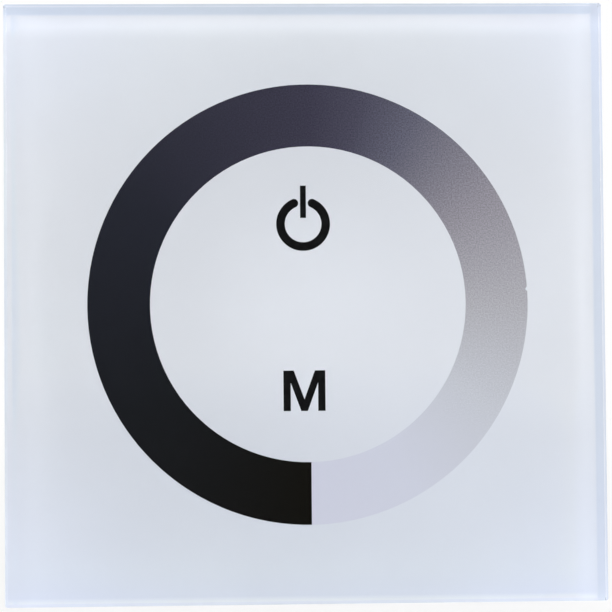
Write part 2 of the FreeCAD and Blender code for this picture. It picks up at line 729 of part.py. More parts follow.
def retaining_clips():
    """Steel strips hooked over the ledge, each with a nose that springs into the plate."""
    body = new_body("retaining_clips")
    sketch = new_sketch(body, "profile", "-(sizes.clip_spacing + sizes.clip_width) / 2",
                        role="YZ_Plane")
    back = f"({INSIDE_HEIGHT} / 2 - sizes.clip_gap)"
    face = f"({back} - sizes.clip_thickness)"
    top = f"({BOARD_LEVEL} + sizes.clip_thickness)"
    nose = "sizes.clip_nose_level"
    # a strip bent through 45 degrees keeps its thickness if its back is moved by root two
    back_bend = "(sizes.clip_nose - sizes.clip_thickness * (sqrt(2) - 1))"
    profile = [
        (top, f"{back} - sizes.clip_hook"),
        (top, back),
        (f"{nose} + {back_bend}", back),
        (nose, f"{back} - {back_bend}"),
        (f"{nose} - {back_bend}", back),
        (f"{nose} - sizes.clip_tail", back),
        (f"{nose} - sizes.clip_tail", face),
        (f"{nose} - sizes.clip_nose", face),
        (nose, f"{face} - sizes.clip_nose"),
        (f"{nose} + sizes.clip_nose", face),
        (BOARD_LEVEL, face),
        (BOARD_LEVEL, f"{back} - sizes.clip_hook"),
    ]
    polygon(sketch, [(f"-({level})", height) for level, height in profile])
    pad(body, "strip", sketch, "sizes.clip_width")
    repeat(body, "pair", "X_Axis", "sizes.clip_spacing", "2")
    mirror(body, "other_pair", "XY_Plane")


def touch_board():
    """Board behind the glass, with shallow seats for its copper pads."""
    body, block = plain_block("touch_board", TOUCH_WIDTH, TOUCH_HEIGHT,
                              "sizes.touch_board_thickness", level=BOARD_LEVEL)
    front = "sizes.touch_board_thickness"
    pads = new_sketch(body, "ring_pad", front)
    electrode_outline(pads)
    first = pocket(body, "ring_pad_seat", pads, "sizes.copper_thickness")
    turn = body.newObject("PartDesign::PolarPattern", "touch_board_ring_pad_seats")
    electrode_circle(body, turn, [first])
    keys = new_sketch(body, "key_pads", front)
    key_outlines(keys)
    pocket(body, "key_pad_seats", keys, "sizes.copper_thickness")
    screws = new_sketch(body, "screw_places", front)
    corner_circles(screws, "sizes.small_screw_radius", TOUCH_SCREW_X, TOUCH_SCREW_Z)
    countersunk_holes(body, "screw_holes", screws)


def electrode_outline(sketch):
    """Draw one copper pad of the ring, at twelve o'clock."""
    half = "(180 / sizes.electrode_count - sizes.electrode_gap_angle / 2)"
    ring_sector(sketch, "sizes.ring_outer_radius", "sizes.ring_inner_radius",
                f"90 - {half}", f"90 + {half}")


def electrode_circle(body, feature, originals):
    """Repeat the ring's first pad all the way round."""
    feature.Originals = originals
    feature.Axis = (origin_feature(body, "Y_Axis"), [""])
    feature.Angle = 360
    feature.setExpression("Occurrences", "sizes.electrode_count")
    body.Tip = feature


def key_outlines(sketch):
    """Draw the round pads behind the power mark and the letter M."""
    circle(sketch, "sizes.key_pad_radius", "-sizes.mark_shift", "sizes.power_rise")
    circle(sketch, "sizes.key_pad_radius", "-sizes.mark_shift", "-sizes.letter_drop")


def touch_pads():
    """Copper pads that feel a finger through the glass."""
    level = f"{TAPE_LEVEL} - sizes.copper_thickness"
    ring = new_body("ring_electrodes", level=level)
    outline = new_sketch(ring, "outline")
    electrode_outline(outline)
    first = pad(ring, "first_pad", outline, "sizes.copper_thickness")
    turn = ring.newObject("PartDesign::PolarPattern", "ring_electrodes_round")
    electrode_circle(ring, turn, [first])
    keys = new_body("key_electrodes", level=level)
    outline = new_sketch(keys, "outline")
    key_outlines(outline)
    pad(keys, "pads", outline, "sizes.copper_thickness")


# Plate and tub


def mounting_plate():
    """Plate that two screws of the wall box hold against the wall."""
    body, block = plain_block("mounting_plate", PLATE_WIDTH, PLATE_HEIGHT,
                              "sizes.plate_thickness")
    round_upright_edges(body, block, "sizes.plate_corner")
    front = "sizes.plate_thickness"
    opening = new_sketch(body, "opening", front)
    rectangle(opening, "sizes.housing_width + 2 * sizes.housing_clearance",
              "sizes.housing_height + 2 * sizes.housing_clearance")
    pocket(body, "opening_cut", opening, front)
    slots = new_sketch(body, "screw_slots", front)
    for side in ("-", ""):
        slot(slots, "sizes.screw_slot_radius", "sizes.screw_slot_length",
             f"{side}sizes.screw_spacing / 2")
    pocket(body, "screw_slot_cuts", slots, front)
    pilots = new_sketch(body, "housing_pilots", front)
    corner_circles(pilots, "(sizes.small_screw_radius + sizes.screw_fit)",
                   "sizes.housing_screw_spacing", FLANGE_SCREW_Z)
    pocket(body, "housing_pilot_cuts", pilots, "sizes.housing_pilot_depth")
    grooves = new_sketch(body, "clip_grooves",
                         "-(sizes.clip_spacing + sizes.clip_width) / 2 - sizes.clip_room",
                         role="YZ_Plane")
    nose_tip = (f"({INSIDE_HEIGHT} / 2 - sizes.clip_gap - sizes.clip_thickness"
                " - sizes.clip_nose - sizes.clip_room)")
    groove_depth = f"({PLATE_HEIGHT} / 2 - {nose_tip})"
    groove_height = ("2 * (sizes.clip_nose - sizes.plate_clearance + sizes.clip_gap"
                     " + sizes.clip_thickness + sizes.clip_room)")
    for end in ("-", ""):
        rectangle(grooves, groove_height, groove_depth, "-sizes.clip_nose_level",
                  f"{end}({PLATE_HEIGHT} - {groove_depth}) / 2")
    first = pocket(body, "clip_groove_pair", grooves, "sizes.clip_width + 2 * sizes.clip_room",
                   along_normal=True)
    repeat(body, "clip_groove_pairs", "X_Axis", "sizes.clip_spacing", "2", [first])


def rear_housing():
    """Tub for the power board: flanges in front of the plate, vents and a terminal window."""
    body, tub = plain_block("rear_housing", "sizes.housing_width", "sizes.housing_height",
                            f"{FLANGE_LEVEL} + sizes.housing_depth",
                            level="-sizes.housing_depth")
    round_upright_edges(body, tub, "sizes.housing_corner")
    front = f"({FLANGE_LEVEL} + sizes.housing_depth)"
    flange = new_sketch(body, "flange", "sizes.plate_thickness + sizes.housing_depth")
    rectangle(flange, "sizes.flange_width", "sizes.housing_height + 2 * sizes.flange_reach")
    pad(body, "flanges", flange, "sizes.flange_thickness")
    hollow = new_sketch(body, "hollow", front)
    rectangle(hollow, "sizes.housing_width - 2 * sizes.housing_wall",
              "sizes.housing_height - 2 * sizes.housing_wall")
    pocket(body, "hollow_cut", hollow, f"{front} - sizes.housing_wall")
    posts = new_sketch(body, "posts", "sizes.housing_wall")
    for side in ("-", ""):
        for end in ("-", ""):
            rectangle(posts, "sizes.post_size", "sizes.post_size",
                      f"{side}{POST_X} / 2", f"{end}{POST_Z} / 2")
    post_top = f"({POWER_REAR} + sizes.housing_depth)"
    pad(body, "post_pads", posts, f"{post_top} - sizes.housing_wall")
    pilots = new_sketch(body, "post_pilots", post_top)
    corner_circles(pilots, "(sizes.pan_screw_radius + sizes.screw_fit)", POST_X, POST_Z)
    pocket(body, "post_pilot_cuts", pilots, "sizes.post_pilot_depth")
    window = new_sketch(body, "terminal_window")
    block_top = f"({TERMINAL_Z} + sizes.terminal_depth / 2 + sizes.window_margin)"
    window_height = f"({block_top} + sizes.housing_height / 2)"
    rectangle(window, f"2 * ({TERMINAL_X} + sizes.pole_spacing + sizes.window_margin)",
              window_height, "0", f"({block_top} - sizes.housing_height / 2) / 2")
    pocket(body, "terminal_window_cut", window, post_top, along_normal=True)
    vents = new_sketch(body, "first_vent", "sizes.housing_height / 2", role="XY_Plane")
    rectangle(vents, "sizes.vent_width", "sizes.vent_length",
              "-(sizes.vent_count - 1) * sizes.vent_spacing / 2",
              f"-({post_top} + sizes.housing_wall) / 2")
    first = pocket(body, "first_vent_cut", vents, "sizes.housing_wall")
    repeat(body, "vent_row", "X_Axis", "sizes.vent_spacing", "sizes.vent_count", [first])
    screws = new_sketch(body, "screw_places", front)
    corner_circles(screws, "sizes.small_screw_radius", "sizes.housing_screw_spacing",
                   FLANGE_SCREW_Z)
    countersunk_holes(body, "flange_screw_holes", screws)


def cross_recess(body, level, width, length, depth):
    """Cut a cross for the screwdriver into a screw's head."""
    for name, across, along in (("one", width, length), ("other", length, width)):
        arm = new_sketch(body, f"drive_arm_{name}", level)
        rectangle(arm, across, along)
        pocket(body, f"drive_cut_{name}", arm, depth)


def four_corners(body, spacing_x, spacing_z):
    """Repeat the whole body to the corners of a rectangle, from its lower left corner."""
    repeat(body, "across", "X_Axis", spacing_x, "2")
    repeat(body, "up", "Z_Axis", spacing_z, "2")


def countersunk_screws(label, level, spacing_x, spacing_z, length):
    """Four countersunk screws, flush with what they hold."""
    body = new_body(label, f"-{spacing_x} / 2", f"-{spacing_z} / 2", level)
    profile = new_sketch(body, "profile", role="XY_Plane")
    neck = "(sizes.small_head_radius - sizes.small_screw_radius)"
    polygon(profile, [
        ("0", "0"),
        ("sizes.small_head_radius", "0"),
        ("sizes.small_screw_radius", neck),
        ("sizes.small_screw_radius", length),
        ("0", length),
    ])
    revolve(body, "screw", profile)
    cross_recess(body, "0", "sizes.small_drive_width", "sizes.small_drive_length",
                 "sizes.small_drive_depth")
    four_corners(body, spacing_x, spacing_z)


def power_board_screws():
    """Four pan head screws through the power board into the tub's posts."""
    body = new_body("power_board_screws", f"-{POST_X} / 2", f"-{POST_Z} / 2", POWER_FRONT)
    head = new_sketch(body, "head")
    circle(head, "sizes.pan_head_radius")
    pad(body, "head_pad", head, "sizes.pan_head_height")
    shank = new_sketch(body, "shank", "-sizes.pan_screw_length")
    circle(shank, "sizes.pan_screw_radius")
    pad(body, "shank_pad", shank, "sizes.pan_screw_length")
    cross_recess(body, "sizes.pan_head_height", "sizes.pan_drive_width",
                 "sizes.pan_drive_length", "sizes.pan_drive_depth")
    four_corners(body, POST_X, POST_Z)


def power_board():
    """Board in the tub, drilled for its screws, pins, contact legs and capacitor leads."""
    body, block = plain_block("power_board", POWER_WIDTH, POWER_HEIGHT,
                              "sizes.power_board_thickness", level=POWER_REAR)
    front = "sizes.power_board_thickness"
    holes = new_sketch(body, "holes", front)
    corner_circles(holes, "(sizes.pan_screw_radius + sizes.screw_fit)", POST_X, POST_Z)
    for label in ("input_capacitor", "smoothing_capacitor"):
        x, z = PLACES[label]
        for side in ("-", "+"):
            circle(holes, "sizes.capacitor_lead_hole",
                   f"{x} {side} sizes.{label}_lead_spacing / 2", z)
    for block_side in ("-", "+"):
        for pole_side in ("-", "+"):
            circle(holes, "sizes.leg_hole_radius",
                   f"0 {block_side} {TERMINAL_X} {pole_side} sizes.pole_spacing / 2",
                   f"{TERMINAL_Z} + sizes.leg_offset")
    pocket(body, "hole_cuts", holes, front)
    pin = new_sketch(body, "first_pin_hole", front)
    circle(pin, "sizes.pin_hole_radius", "-(sizes.pin_count - 1) * sizes.pin_spacing / 2",
           HEADER_Z)
    first = pocket(body, "first_pin_hole_cut", pin, front)
    repeat(body, "pin_holes", "X_Axis", "sizes.pin_spacing", "sizes.pin_count", [first])


# Header and socket between the boards


def header_and_socket():
    """Pins on the power board, the socket on the touch board and the contacts in it."""
    row_length = "(sizes.pin_count * sizes.pin_spacing)"
    first_pin = "-(sizes.pin_count - 1) * sizes.pin_spacing / 2"
    base, block = plain_block("header_base", row_length, "sizes.header_depth",
                              "sizes.header_base_height", z=HEADER_Z, level=POWER_FRONT)
    hole = new_sketch(base, "pin_hole", "sizes.header_base_height")
    hole_size = "sizes.pin_width + 2 * sizes.pin_fit"
    rectangle(hole, hole_size, hole_size, first_pin)
    cut = pocket(base, "pin_hole_cut", hole, "sizes.header_base_height")
    repeat(base, "pin_holes", "X_Axis", "sizes.pin_spacing", "sizes.pin_count", [cut])

    tail = "(sizes.power_board_thickness + sizes.solder_tail)"
    pins = new_body("header_pins", first_pin, HEADER_Z, POWER_FRONT)
    outline = new_sketch(pins, "outline", f"-{tail}")
    rectangle(outline, "sizes.pin_width", "sizes.pin_width")
    pad(pins, "pin", outline, f"{tail} + sizes.header_base_height + sizes.pin_engagement")
    repeat(pins, "row", "X_Axis", "sizes.pin_spacing", "sizes.pin_count")

    socket = new_body("board_socket", z=HEADER_Z, level=BOARD_LEVEL, towards_wall=True)
    outline = new_sketch(socket, "outline", "sizes.contact_strip_thickness")
    rectangle(outline, row_length, "sizes.header_depth")
    pad(socket, "block", outline, "sizes.socket_height - sizes.contact_strip_thickness")
    bore = new_sketch(socket, "bore", "sizes.socket_height")
    rectangle(bore, "sizes.socket_bore", "sizes.socket_bore", first_pin)
    cut = pocket(socket, "bore_cut", bore, "sizes.socket_height")
    repeat(socket, "bores", "X_Axis", "sizes.pin_spacing", "sizes.pin_count", [cut])

    contacts = new_body("socket_contacts", f"-({first_pin})", HEADER_Z, BOARD_LEVEL,
                        towards_wall=True)
    strip = new_sketch(contacts, "strip")
    rectangle(strip, "sizes.pin_width", "sizes.contact_strip_length")
    pad(contacts, "strip_pad", strip, "sizes.contact_strip_thickness")
    leaf = new_sketch(contacts, "leaf", "sizes.contact_strip_thickness")
    rectangle(leaf, "sizes.pin_width", "sizes.contact_leaf_thickness", "0",
              "(sizes.pin_width + sizes.contact_leaf_thickness) / 2 + sizes.pin_fit / 2")
    pad(contacts, "leaf_pad", leaf, "sizes.contact_leaf_length")
    repeat(contacts, "row", "X_Axis", "sizes.pin_spacing", "sizes.pin_count")


# Terminal blocks


def pole_x(number):
    """Where one of the four poles stands, from the left as seen from the room."""
    block_side = "-" if number < 2 else "+"
    pole_side = "+" if number % 2 else "-"
    return f"0 {block_side} {TERMINAL_X} {pole_side} sizes.pole_spacing / 2"


def terminal_block(label, x):
    """Two-pole block: screw holes in its rear, wire holes in its underside."""
    body, block = plain_block(label, "2 * sizes.pole_spacing", "sizes.terminal_depth",
                              "sizes.terminal_height", x, TERMINAL_Z, POWER_REAR,
                              towards_wall=True)
    round_upright_edges(body, block, "sizes.terminal_corner")
    first_x = "-sizes.pole_spacing / 2"
    cavity = new_sketch(body, "cavity", CAVITY_TOP)
    rectangle(cavity, "sizes.clamp_width + 2 * sizes.clamp_fit",
              "sizes.clamp_length + 2 * sizes.clamp_fit", first_x)
    cavity_cut = pocket(body, "cavity_cut", cavity,
                        f"{CAVITY_TOP} - {CLAMP_BOTTOM} + sizes.clamp_end_room")
    head = new_sketch(body, "head_hole", "sizes.terminal_height")
    circle(head, "sizes.terminal_head_radius + sizes.terminal_head_fit", first_x)
    head_cut = pocket(body, "head_hole_cut", head, "sizes.head_recess")
    shank = new_sketch(body, "shank_hole", SHOULDER)
    circle(shank, "sizes.thread_radius + sizes.thread_fit", first_x)
    shank_cut = pocket(body, "shank_hole_cut", shank, "sizes.shoulder_thickness")
    seat = new_sketch(body, "bar_seat")
    seat_end = "(sizes.leg_offset + sizes.leg_thickness / 2 + sizes.bar_fit)"
    seat_start = "(sizes.clamp_length / 2 + sizes.clamp_fit)"
    rectangle(seat, "sizes.bar_width + 2 * sizes.bar_fit", f"{seat_end} - {seat_start}",
              first_x, f"({seat_end} + {seat_start}) / 2")
    seat_cut = pocket(body, "bar_seat_cut", seat, f"{BAR_TOP} + sizes.bar_fit",
                      along_normal=True)
    wire_middle = f"-({WIRE_FLOOR} + {BAR_BOTTOM}) / 2"
    wire_width = "(sizes.clamp_width - 2 * sizes.clamp_side_wall)"
    wire = new_sketch(body, "wire_hole", "-sizes.terminal_depth / 2", role="XY_Plane")
    rectangle(wire, wire_width, "sizes.wire_space", first_x, wire_middle)
    wire_cut = pocket(body, "wire_hole_cut", wire,
                      "(sizes.terminal_depth - sizes.clamp_length) / 2", along_normal=True)
    mouth = new_sketch(body, "wire_mouth", "-sizes.terminal_depth / 2", role="XY_Plane")
    rectangle(mouth, f"{wire_width} + 2 * sizes.wire_funnel",
              "sizes.wire_space + 2 * sizes.wire_funnel", first_x, wire_middle)
    mouth_cut = pocket(body, "wire_mouth_cut", mouth, "sizes.wire_funnel", along_normal=True)
    repeat(body, "poles", "X_Axis", "sizes.pole_spacing", "2",
           [cavity_cut, head_cut, shank_cut, seat_cut, wire_cut, mouth_cut])


def terminal_screw(number):
    """Slotted screw that turns in its block and draws the clamp up."""
    body = new_body(f"terminal_screw_{number + 1}", pole_x(number), TERMINAL_Z, POWER_REAR,
                    towards_wall=True)
    seat = f"({SHOULDER} + sizes.thread_fit)"
    tip = f"({BAR_TOP} + sizes.thread_fit)"
    shank = new_sketch(body, "shank", tip)
    circle(shank, "sizes.thread_radius")
    pad(body, "shank_pad", shank, f"{seat} - {tip}")
    head = new_sketch(body, "head", seat)
    circle(head, "sizes.terminal_head_radius")
    pad(body, "head_pad", head, "sizes.terminal_head_height")
    drive = new_sketch(body, "drive", f"{seat} + sizes.terminal_head_height")
    rectangle(drive, "2 * sizes.terminal_head_radius", "sizes.terminal_slot_width")
    pocket(body, "drive_cut", drive, "sizes.terminal_slot_depth")


def terminal_clamp(number):
    """Steel cage that rises along its screw and presses the wire against the bar."""
    body, block = plain_block(f"terminal_clamp_{number + 1}", "sizes.clamp_width",
                              "sizes.clamp_length", CLAMP_HEIGHT, pole_x(number), TERMINAL_Z,
                              f"{POWER_REAR} - {CLAMP_BOTTOM}", towards_wall=True)
    inside = new_sketch(body, "inside", "-sizes.clamp_length / 2", role="XY_Plane")
    rectangle(inside, "sizes.clamp_width - 2 * sizes.clamp_side_wall",
              "sizes.clamp_inside_height", "0",
              "-(sizes.clamp_bottom_wall + sizes.clamp_inside_height / 2)")
    pocket(body, "inside_cut", inside, "sizes.clamp_length", along_normal=True)
    thread = new_sketch(body, "thread", CLAMP_HEIGHT)
    circle(thread, "sizes.thread_radius + sizes.thread_fit")
    pocket(body, "thread_cut", thread, "sizes.clamp_top_wall")


def terminal_contacts():
    """Four contact bars, each with a leg that is soldered into the power board."""
    body = new_body("terminal_contacts", z=TERMINAL_Z, level=POWER_REAR, towards_wall=True)
    tail = "(sizes.power_board_thickness + sizes.solder_tail)"
    bars = new_sketch(body, "bars", BAR_BOTTOM)
    legs = new_sketch(body, "legs", f"-{tail}")
    bar_start = "(-sizes.clamp_length / 2)"
    bar_end = "(sizes.leg_offset + sizes.leg_thickness / 2)"
    for number in range(4):
        rectangle(bars, "sizes.bar_width", f"{bar_end} - {bar_start}", pole_x(number),
                  f"({bar_end} + {bar_start}) / 2")
        rectangle(legs, "sizes.leg_width", "sizes.leg_thickness", pole_x(number),
                  "sizes.leg_offset")
    pad(body, "bar_pads", bars, "sizes.bar_thickness")
    pad(body, "leg_pads", legs, f"{tail} + {BAR_BOTTOM}")


# Components on the boards


def capacitor(label):
    """Can of an electrolytic capacitor, crimped round the bung in its open end."""
    body = new_body(label, *PLACES[label], POWER_REAR, towards_wall=True)
    profile = new_sketch(body, "profile", role="XY_Plane")
    radius = f"sizes.{label}_radius"
    top = f"sizes.{label}_height"
    crimp = "(sizes.bung_height + sizes.crimp_height)"
    points = [
        ("0", "sizes.bung_height"),
        (radius, "sizes.bung_height"),
        (radius, f"{crimp} - sizes.crimp_depth"),
        (f"{radius} - sizes.crimp_depth", crimp),
        (radius, f"{crimp} + sizes.crimp_depth"),
        (radius, f"{top} - sizes.crimp_depth"),
        (f"{radius} - sizes.crimp_depth", top),
        ("0", top),
    ]
    polygon(profile, [(across, f"-({height})") for across, height in points])
    revolve(body, "can", profile)


def capacitor_bungs_and_leads():
    """Rubber bungs under both capacitors, and the leads that come out of them."""
    bungs = new_body("capacitor_bungs", level=POWER_REAR, towards_wall=True)
    leads = new_body("capacitor_leads", level=POWER_REAR, towards_wall=True)
    tail = "(sizes.power_board_thickness + sizes.solder_tail)"
    bung_outlines = new_sketch(bungs, "outlines")
    lead_outlines = new_sketch(leads, "outlines", f"-{tail}")
    for label in ("input_capacitor", "smoothing_capacitor"):
        # these bodies face the wall, so their own X runs the other way
        x, z = PLACES[label]
        circle(bung_outlines, f"sizes.{label}_radius - sizes.bung_inset", f"-{x}", z)
        for side in ("-", "+"):
            circle(lead_outlines, "sizes.capacitor_lead_radius",
                   f"-{x} {side} sizes.{label}_lead_spacing / 2", z)
    pad(bungs, "pads", bung_outlines, "sizes.bung_height")
    pad(leads, "pads", lead_outlines, tail)


def inductor():
    """Shielded choke on two solder strips."""
    place = PLACES["inductor"]
    body = new_body("inductor", *place, f"{POWER_REAR} - sizes.inductor_strip_thickness",
                    towards_wall=True)
    outline = new_sketch(body, "outline")
    rectangle(outline, "sizes.inductor_size", "sizes.inductor_size")
    block = pad(body, "block", outline, "sizes.inductor_height")
    round_upright_edges(body, block, "sizes.inductor_corner")
    strips = new_body("inductor_terminals", *place, POWER_REAR, towards_wall=True)
    outline = new_sketch(strips, "outline")
    for side in ("-", ""):
        rectangle(outline, "sizes.inductor_strip_width", "sizes.inductor_size",
                  f"{side}(sizes.inductor_size - sizes.inductor_strip_width) / 2")
    pad(strips, "pads", outline, "sizes.inductor_strip_thickness")


def fuse():
    """Ceramic fuse with a metal cap at each end."""
    barrel_length = "(sizes.fuse_length - 2 * sizes.fuse_cap_length)"
    plain_block("fuse", barrel_length, "sizes.fuse_width - 2 * sizes.fuse_inset",
                "sizes.fuse_height - sizes.fuse_inset", *PLACES["fuse"], POWER_REAR,
                towards_wall=True)
    caps = new_body("fuse_caps", *PLACES["fuse"], POWER_REAR, towards_wall=True)
    outline = new_sketch(caps, "outline")
    for side in ("-", ""):
        rectangle(outline, "sizes.fuse_cap_length", "sizes.fuse_width",
                  f"{side}(sizes.fuse_length - sizes.fuse_cap_length) / 2")
    pad(caps, "pads", outline, "sizes.fuse_height")


def chip(label, level, towards_wall):
    """Chip body with a bevelled top and a dimple by its first lead, and two rows of leads."""
    x, z = PLACES[label]
    width = f"sizes.{label}_width"
    height = f"sizes.{label}_height"
    count = f"sizes.{label}_lead_count"
    length = f"({count} * sizes.lead_spacing)"
    body = new_body(label, x, z, level, towards_wall)
    outline = new_sketch(body, "outline", "sizes.chip_standoff")
    rectangle(outline, length, width)
    block = pad(body, "block", outline, f"{height} - sizes.chip_standoff")
    bevel_front_edges(body, block, "sizes.chip_bevel")
    dimple = new_sketch(body, "dimple", height)
    circle(dimple, "sizes.dimple_radius", f"sizes.dimple_inset - {length} / 2",
           f"sizes.dimple_inset - {width} / 2")
    pocket(body, "dimple_cut", dimple, "sizes.dimple_depth")

    leads = new_body(f"{label}_pins", x, z, level, towards_wall)
    side = f"{width} / 2"
    knee = f"({side} + sizes.lead_knee)"
    foot = f"({side} + sizes.lead_reach)"
    shoulder = f"({height} / 2)"
    thickness = "sizes.lead_thickness"
    profile = [
        ("0", foot),
        (thickness, foot),
        (thickness, f"{knee} + {thickness}"),
        (f"{shoulder} + {thickness}", f"{knee} + {thickness}"),
        (f"{shoulder} + {thickness}", side),
        (shoulder, side),
        (shoulder, knee),
        ("0", knee),
    ]
    sketch = new_sketch(leads, "profile",
                        f"-(({count} - 1) * sizes.lead_spacing + sizes.lead_width) / 2",
                        role="YZ_Plane")
    polygon(sketch, [(f"-({rise})", out) for rise, out in profile])
    pad(leads, "first_lead", sketch, "sizes.lead_width")
    repeat(leads, "row", "X_Axis", "sizes.lead_spacing", count)
    mirror(leads, "other_row", "XY_Plane")


def dimmer_transistors():
    """Two power transistors, each with a tab above it and two leads below it."""
    bodies = new_body("dimmer_transistors", z=TRANSISTOR_Z, level=POWER_FRONT)
    tabs = new_body("transistor_tabs", z=TRANSISTOR_Z, level=POWER_FRONT)
    leads = new_body("transistor_leads", z=TRANSISTOR_Z, level=POWER_FRONT)
    body_outlines = new_sketch(bodies, "outlines")
    tab_outlines = new_sketch(tabs, "outlines")
    lead_outlines = new_sketch(leads, "outlines")
    for side in ("-", ""):
        middle = f"{side}sizes.transistor_spacing / 2"
        rectangle(body_outlines, "sizes.transistor_width", "sizes.transistor_length", middle)
        rectangle(tab_outlines, "sizes.transistor_tab_width", "sizes.transistor_tab_length",
                  middle, "(sizes.transistor_length + sizes.transistor_tab_length) / 2")
        for end in ("-", "+"):
            rectangle(lead_outlines, "sizes.transistor_lead_width",
                      "sizes.transistor_lead_length",
                      f"{middle} {end} sizes.transistor_lead_spacing / 2",
                      "-(sizes.transistor_length + sizes.transistor_lead_length) / 2")
    block = pad(bodies, "blocks", body_outlines, "sizes.transistor_height")
    bevel_front_edges(bodies, block, "sizes.chip_bevel")
    pad(tabs, "pads", tab_outlines, "sizes.transistor_tab_thickness")
    pad(leads, "pads", lead_outlines, "sizes.transistor_tab_thickness")


def polarity_diode():
    """Diode that guards against a supply wired the wrong way round."""
    body, block = plain_block("polarity_diode", "sizes.diode_length", "sizes.diode_width",
                              "sizes.diode_height", *PLACES["polarity_diode"], POWER_FRONT)
    bevel_front_edges(body, block, "sizes.chip_bevel")
    leads = new_body("diode_leads", *PLACES["polarity_diode"], POWER_FRONT)
    outline = new_sketch(leads, "outline")
    for side in ("-", ""):
        rectangle(outline, "sizes.diode_lead_length", "sizes.diode_lead_width",
                  f"{side}(sizes.diode_length + sizes.diode_lead_length) / 2")
    pad(leads, "pads", outline, "sizes.diode_lead_thickness")


def small_chip_row(label, count, z, level, towards_wall=False):
    """Row of small ceramic chips, and the solderable ends of each."""
    first = f"-({count} - 1) * sizes.small_chip_spacing / 2"
    if towards_wall:
        first = f"-({first})"
    chips, block = plain_block(label, "sizes.small_chip_length - 2 * sizes.small_chip_end",
                               "sizes.small_chip_width", "sizes.small_chip_height",
                               first, z, level, towards_wall)
    repeat(chips, "row", "X_Axis", "sizes.small_chip_spacing", count)
    ends = new_body(f"{label}_ends", first, z, level, towards_wall)
    outline = new_sketch(ends, "outline")
    for side in ("-", ""):
        rectangle(outline, "sizes.small_chip_end", "sizes.small_chip_width",
                  f"{side}(sizes.small_chip_length - sizes.small_chip_end) / 2")
    pad(ends, "pads", outline, "sizes.small_chip_height")
    repeat(ends, "row", "X_Axis", "sizes.small_chip_spacing", count)


def check_features():
    """Stop if a feature failed, a cut removed nothing or a sub-part isn't valid."""
    for item in doc.Objects:
        if {"Invalid", "Error"} & set(item.State):
            raise RuntimeError(f"{item.Name} did not recompute: {item.State}")
    for cut in cuts:
        removed = cut.BaseFeature.Shape.Volume - cut.Shape.Volume
        if removed < 1e-6:
            raise RuntimeError(f"{cut.Name} removed nothing")
    for body in sub_parts:
        if body.Shape.isNull() or not body.Shape.isValid():
            raise RuntimeError(f"{body.Label} has no valid shape")


glass_panel()
white_backing()
dark_prints()
tapes()
front_frame()
retaining_clips()
touch_board()
touch_pads()
countersunk_screws("touch_board_screws", TAPE_LEVEL, TOUCH_SCREW_X, TOUCH_SCREW_Z,
                   "sizes.touch_screw_length")
mounting_plate()
rear_housing()
countersunk_screws("housing_screws", FLANGE_LEVEL, "sizes.housing_screw_spacing",
                   FLANGE_SCREW_Z, "sizes.housing_screw_length")
power_board()
power_board_screws()
header_and_socket()
terminal_block("input_terminal", f"-{TERMINAL_X}")
terminal_block("output_terminal", TERMINAL_X)
terminal_contacts()
for pole in range(4):
    terminal_screw(pole)
    terminal_clamp(pole)
capacitor("input_capacitor")
capacitor("smoothing_capacitor")
capacitor_bungs_and_leads()
inductor()
fuse()
chip("touch_controller", BOARD_LEVEL, towards_wall=True)
chip("regulator", POWER_FRONT, towards_wall=False)
chip("microcontroller", POWER_FRONT, towards_wall=False)
dimmer_transistors()
polarity_diode()
small_chip_row("chip_resistors", "sizes.resistor_count", RESISTOR_Z, POWER_FRONT)
small_chip_row("touch_capacitors", "sizes.touch_capacitor_count", "sizes.touch_capacitor_z",
               BOARD_LEVEL, towards_wall=True)

doc.recompute()
check_features()
os.makedirs("parts", exist_ok=True)
for body in sub_parts:
    body.Shape.exportStep(f"parts/{body.Label}.step")
print(f"wrote {len(sub_parts)} sub-parts")
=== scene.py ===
# %% [markdown]
# # A touch dimmer switch for the wall
#
# The real object is a square of glass, printed on its back, on a snap-on plastic frame. Behind
# it are a touch board, a plate for the wall box and a tub of electronics with screw terminals.
# The CAD model holds every solid at its true size. This lesson keeps those solids, rounds the
# moulded ones, remakes the glass as optics need it, and gives each surface the finish of the
# real material.

# %% Load the model
import math
import bmesh
import bpy
import numpy as np
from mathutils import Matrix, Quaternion, Vector


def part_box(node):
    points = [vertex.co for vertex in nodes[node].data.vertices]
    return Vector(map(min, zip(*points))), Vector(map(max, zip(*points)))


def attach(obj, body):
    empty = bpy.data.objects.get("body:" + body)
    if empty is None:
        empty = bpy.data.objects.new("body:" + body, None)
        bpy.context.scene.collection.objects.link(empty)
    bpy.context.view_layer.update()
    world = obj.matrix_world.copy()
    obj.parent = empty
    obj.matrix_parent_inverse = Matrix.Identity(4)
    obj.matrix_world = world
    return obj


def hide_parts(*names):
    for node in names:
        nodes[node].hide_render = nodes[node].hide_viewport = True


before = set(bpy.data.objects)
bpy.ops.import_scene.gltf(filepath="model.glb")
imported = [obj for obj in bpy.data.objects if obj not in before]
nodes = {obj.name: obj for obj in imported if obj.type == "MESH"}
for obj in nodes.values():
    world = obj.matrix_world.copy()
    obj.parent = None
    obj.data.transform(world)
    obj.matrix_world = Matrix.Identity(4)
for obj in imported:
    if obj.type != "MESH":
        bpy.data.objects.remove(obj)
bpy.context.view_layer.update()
MM = 0.001

# %% [markdown]
# ## Tools for materials
#
# Every material below is a small tree of nodes. One function adds a node, sets it up and wires
# it, so that a tree reads from top to bottom like a recipe. Colours are written as the eye knows
# them, in sRGB hex, and one function turns them into the linear light that Blender mixes.
# Patterns are measured on the object itself, so their sizes are real ones.

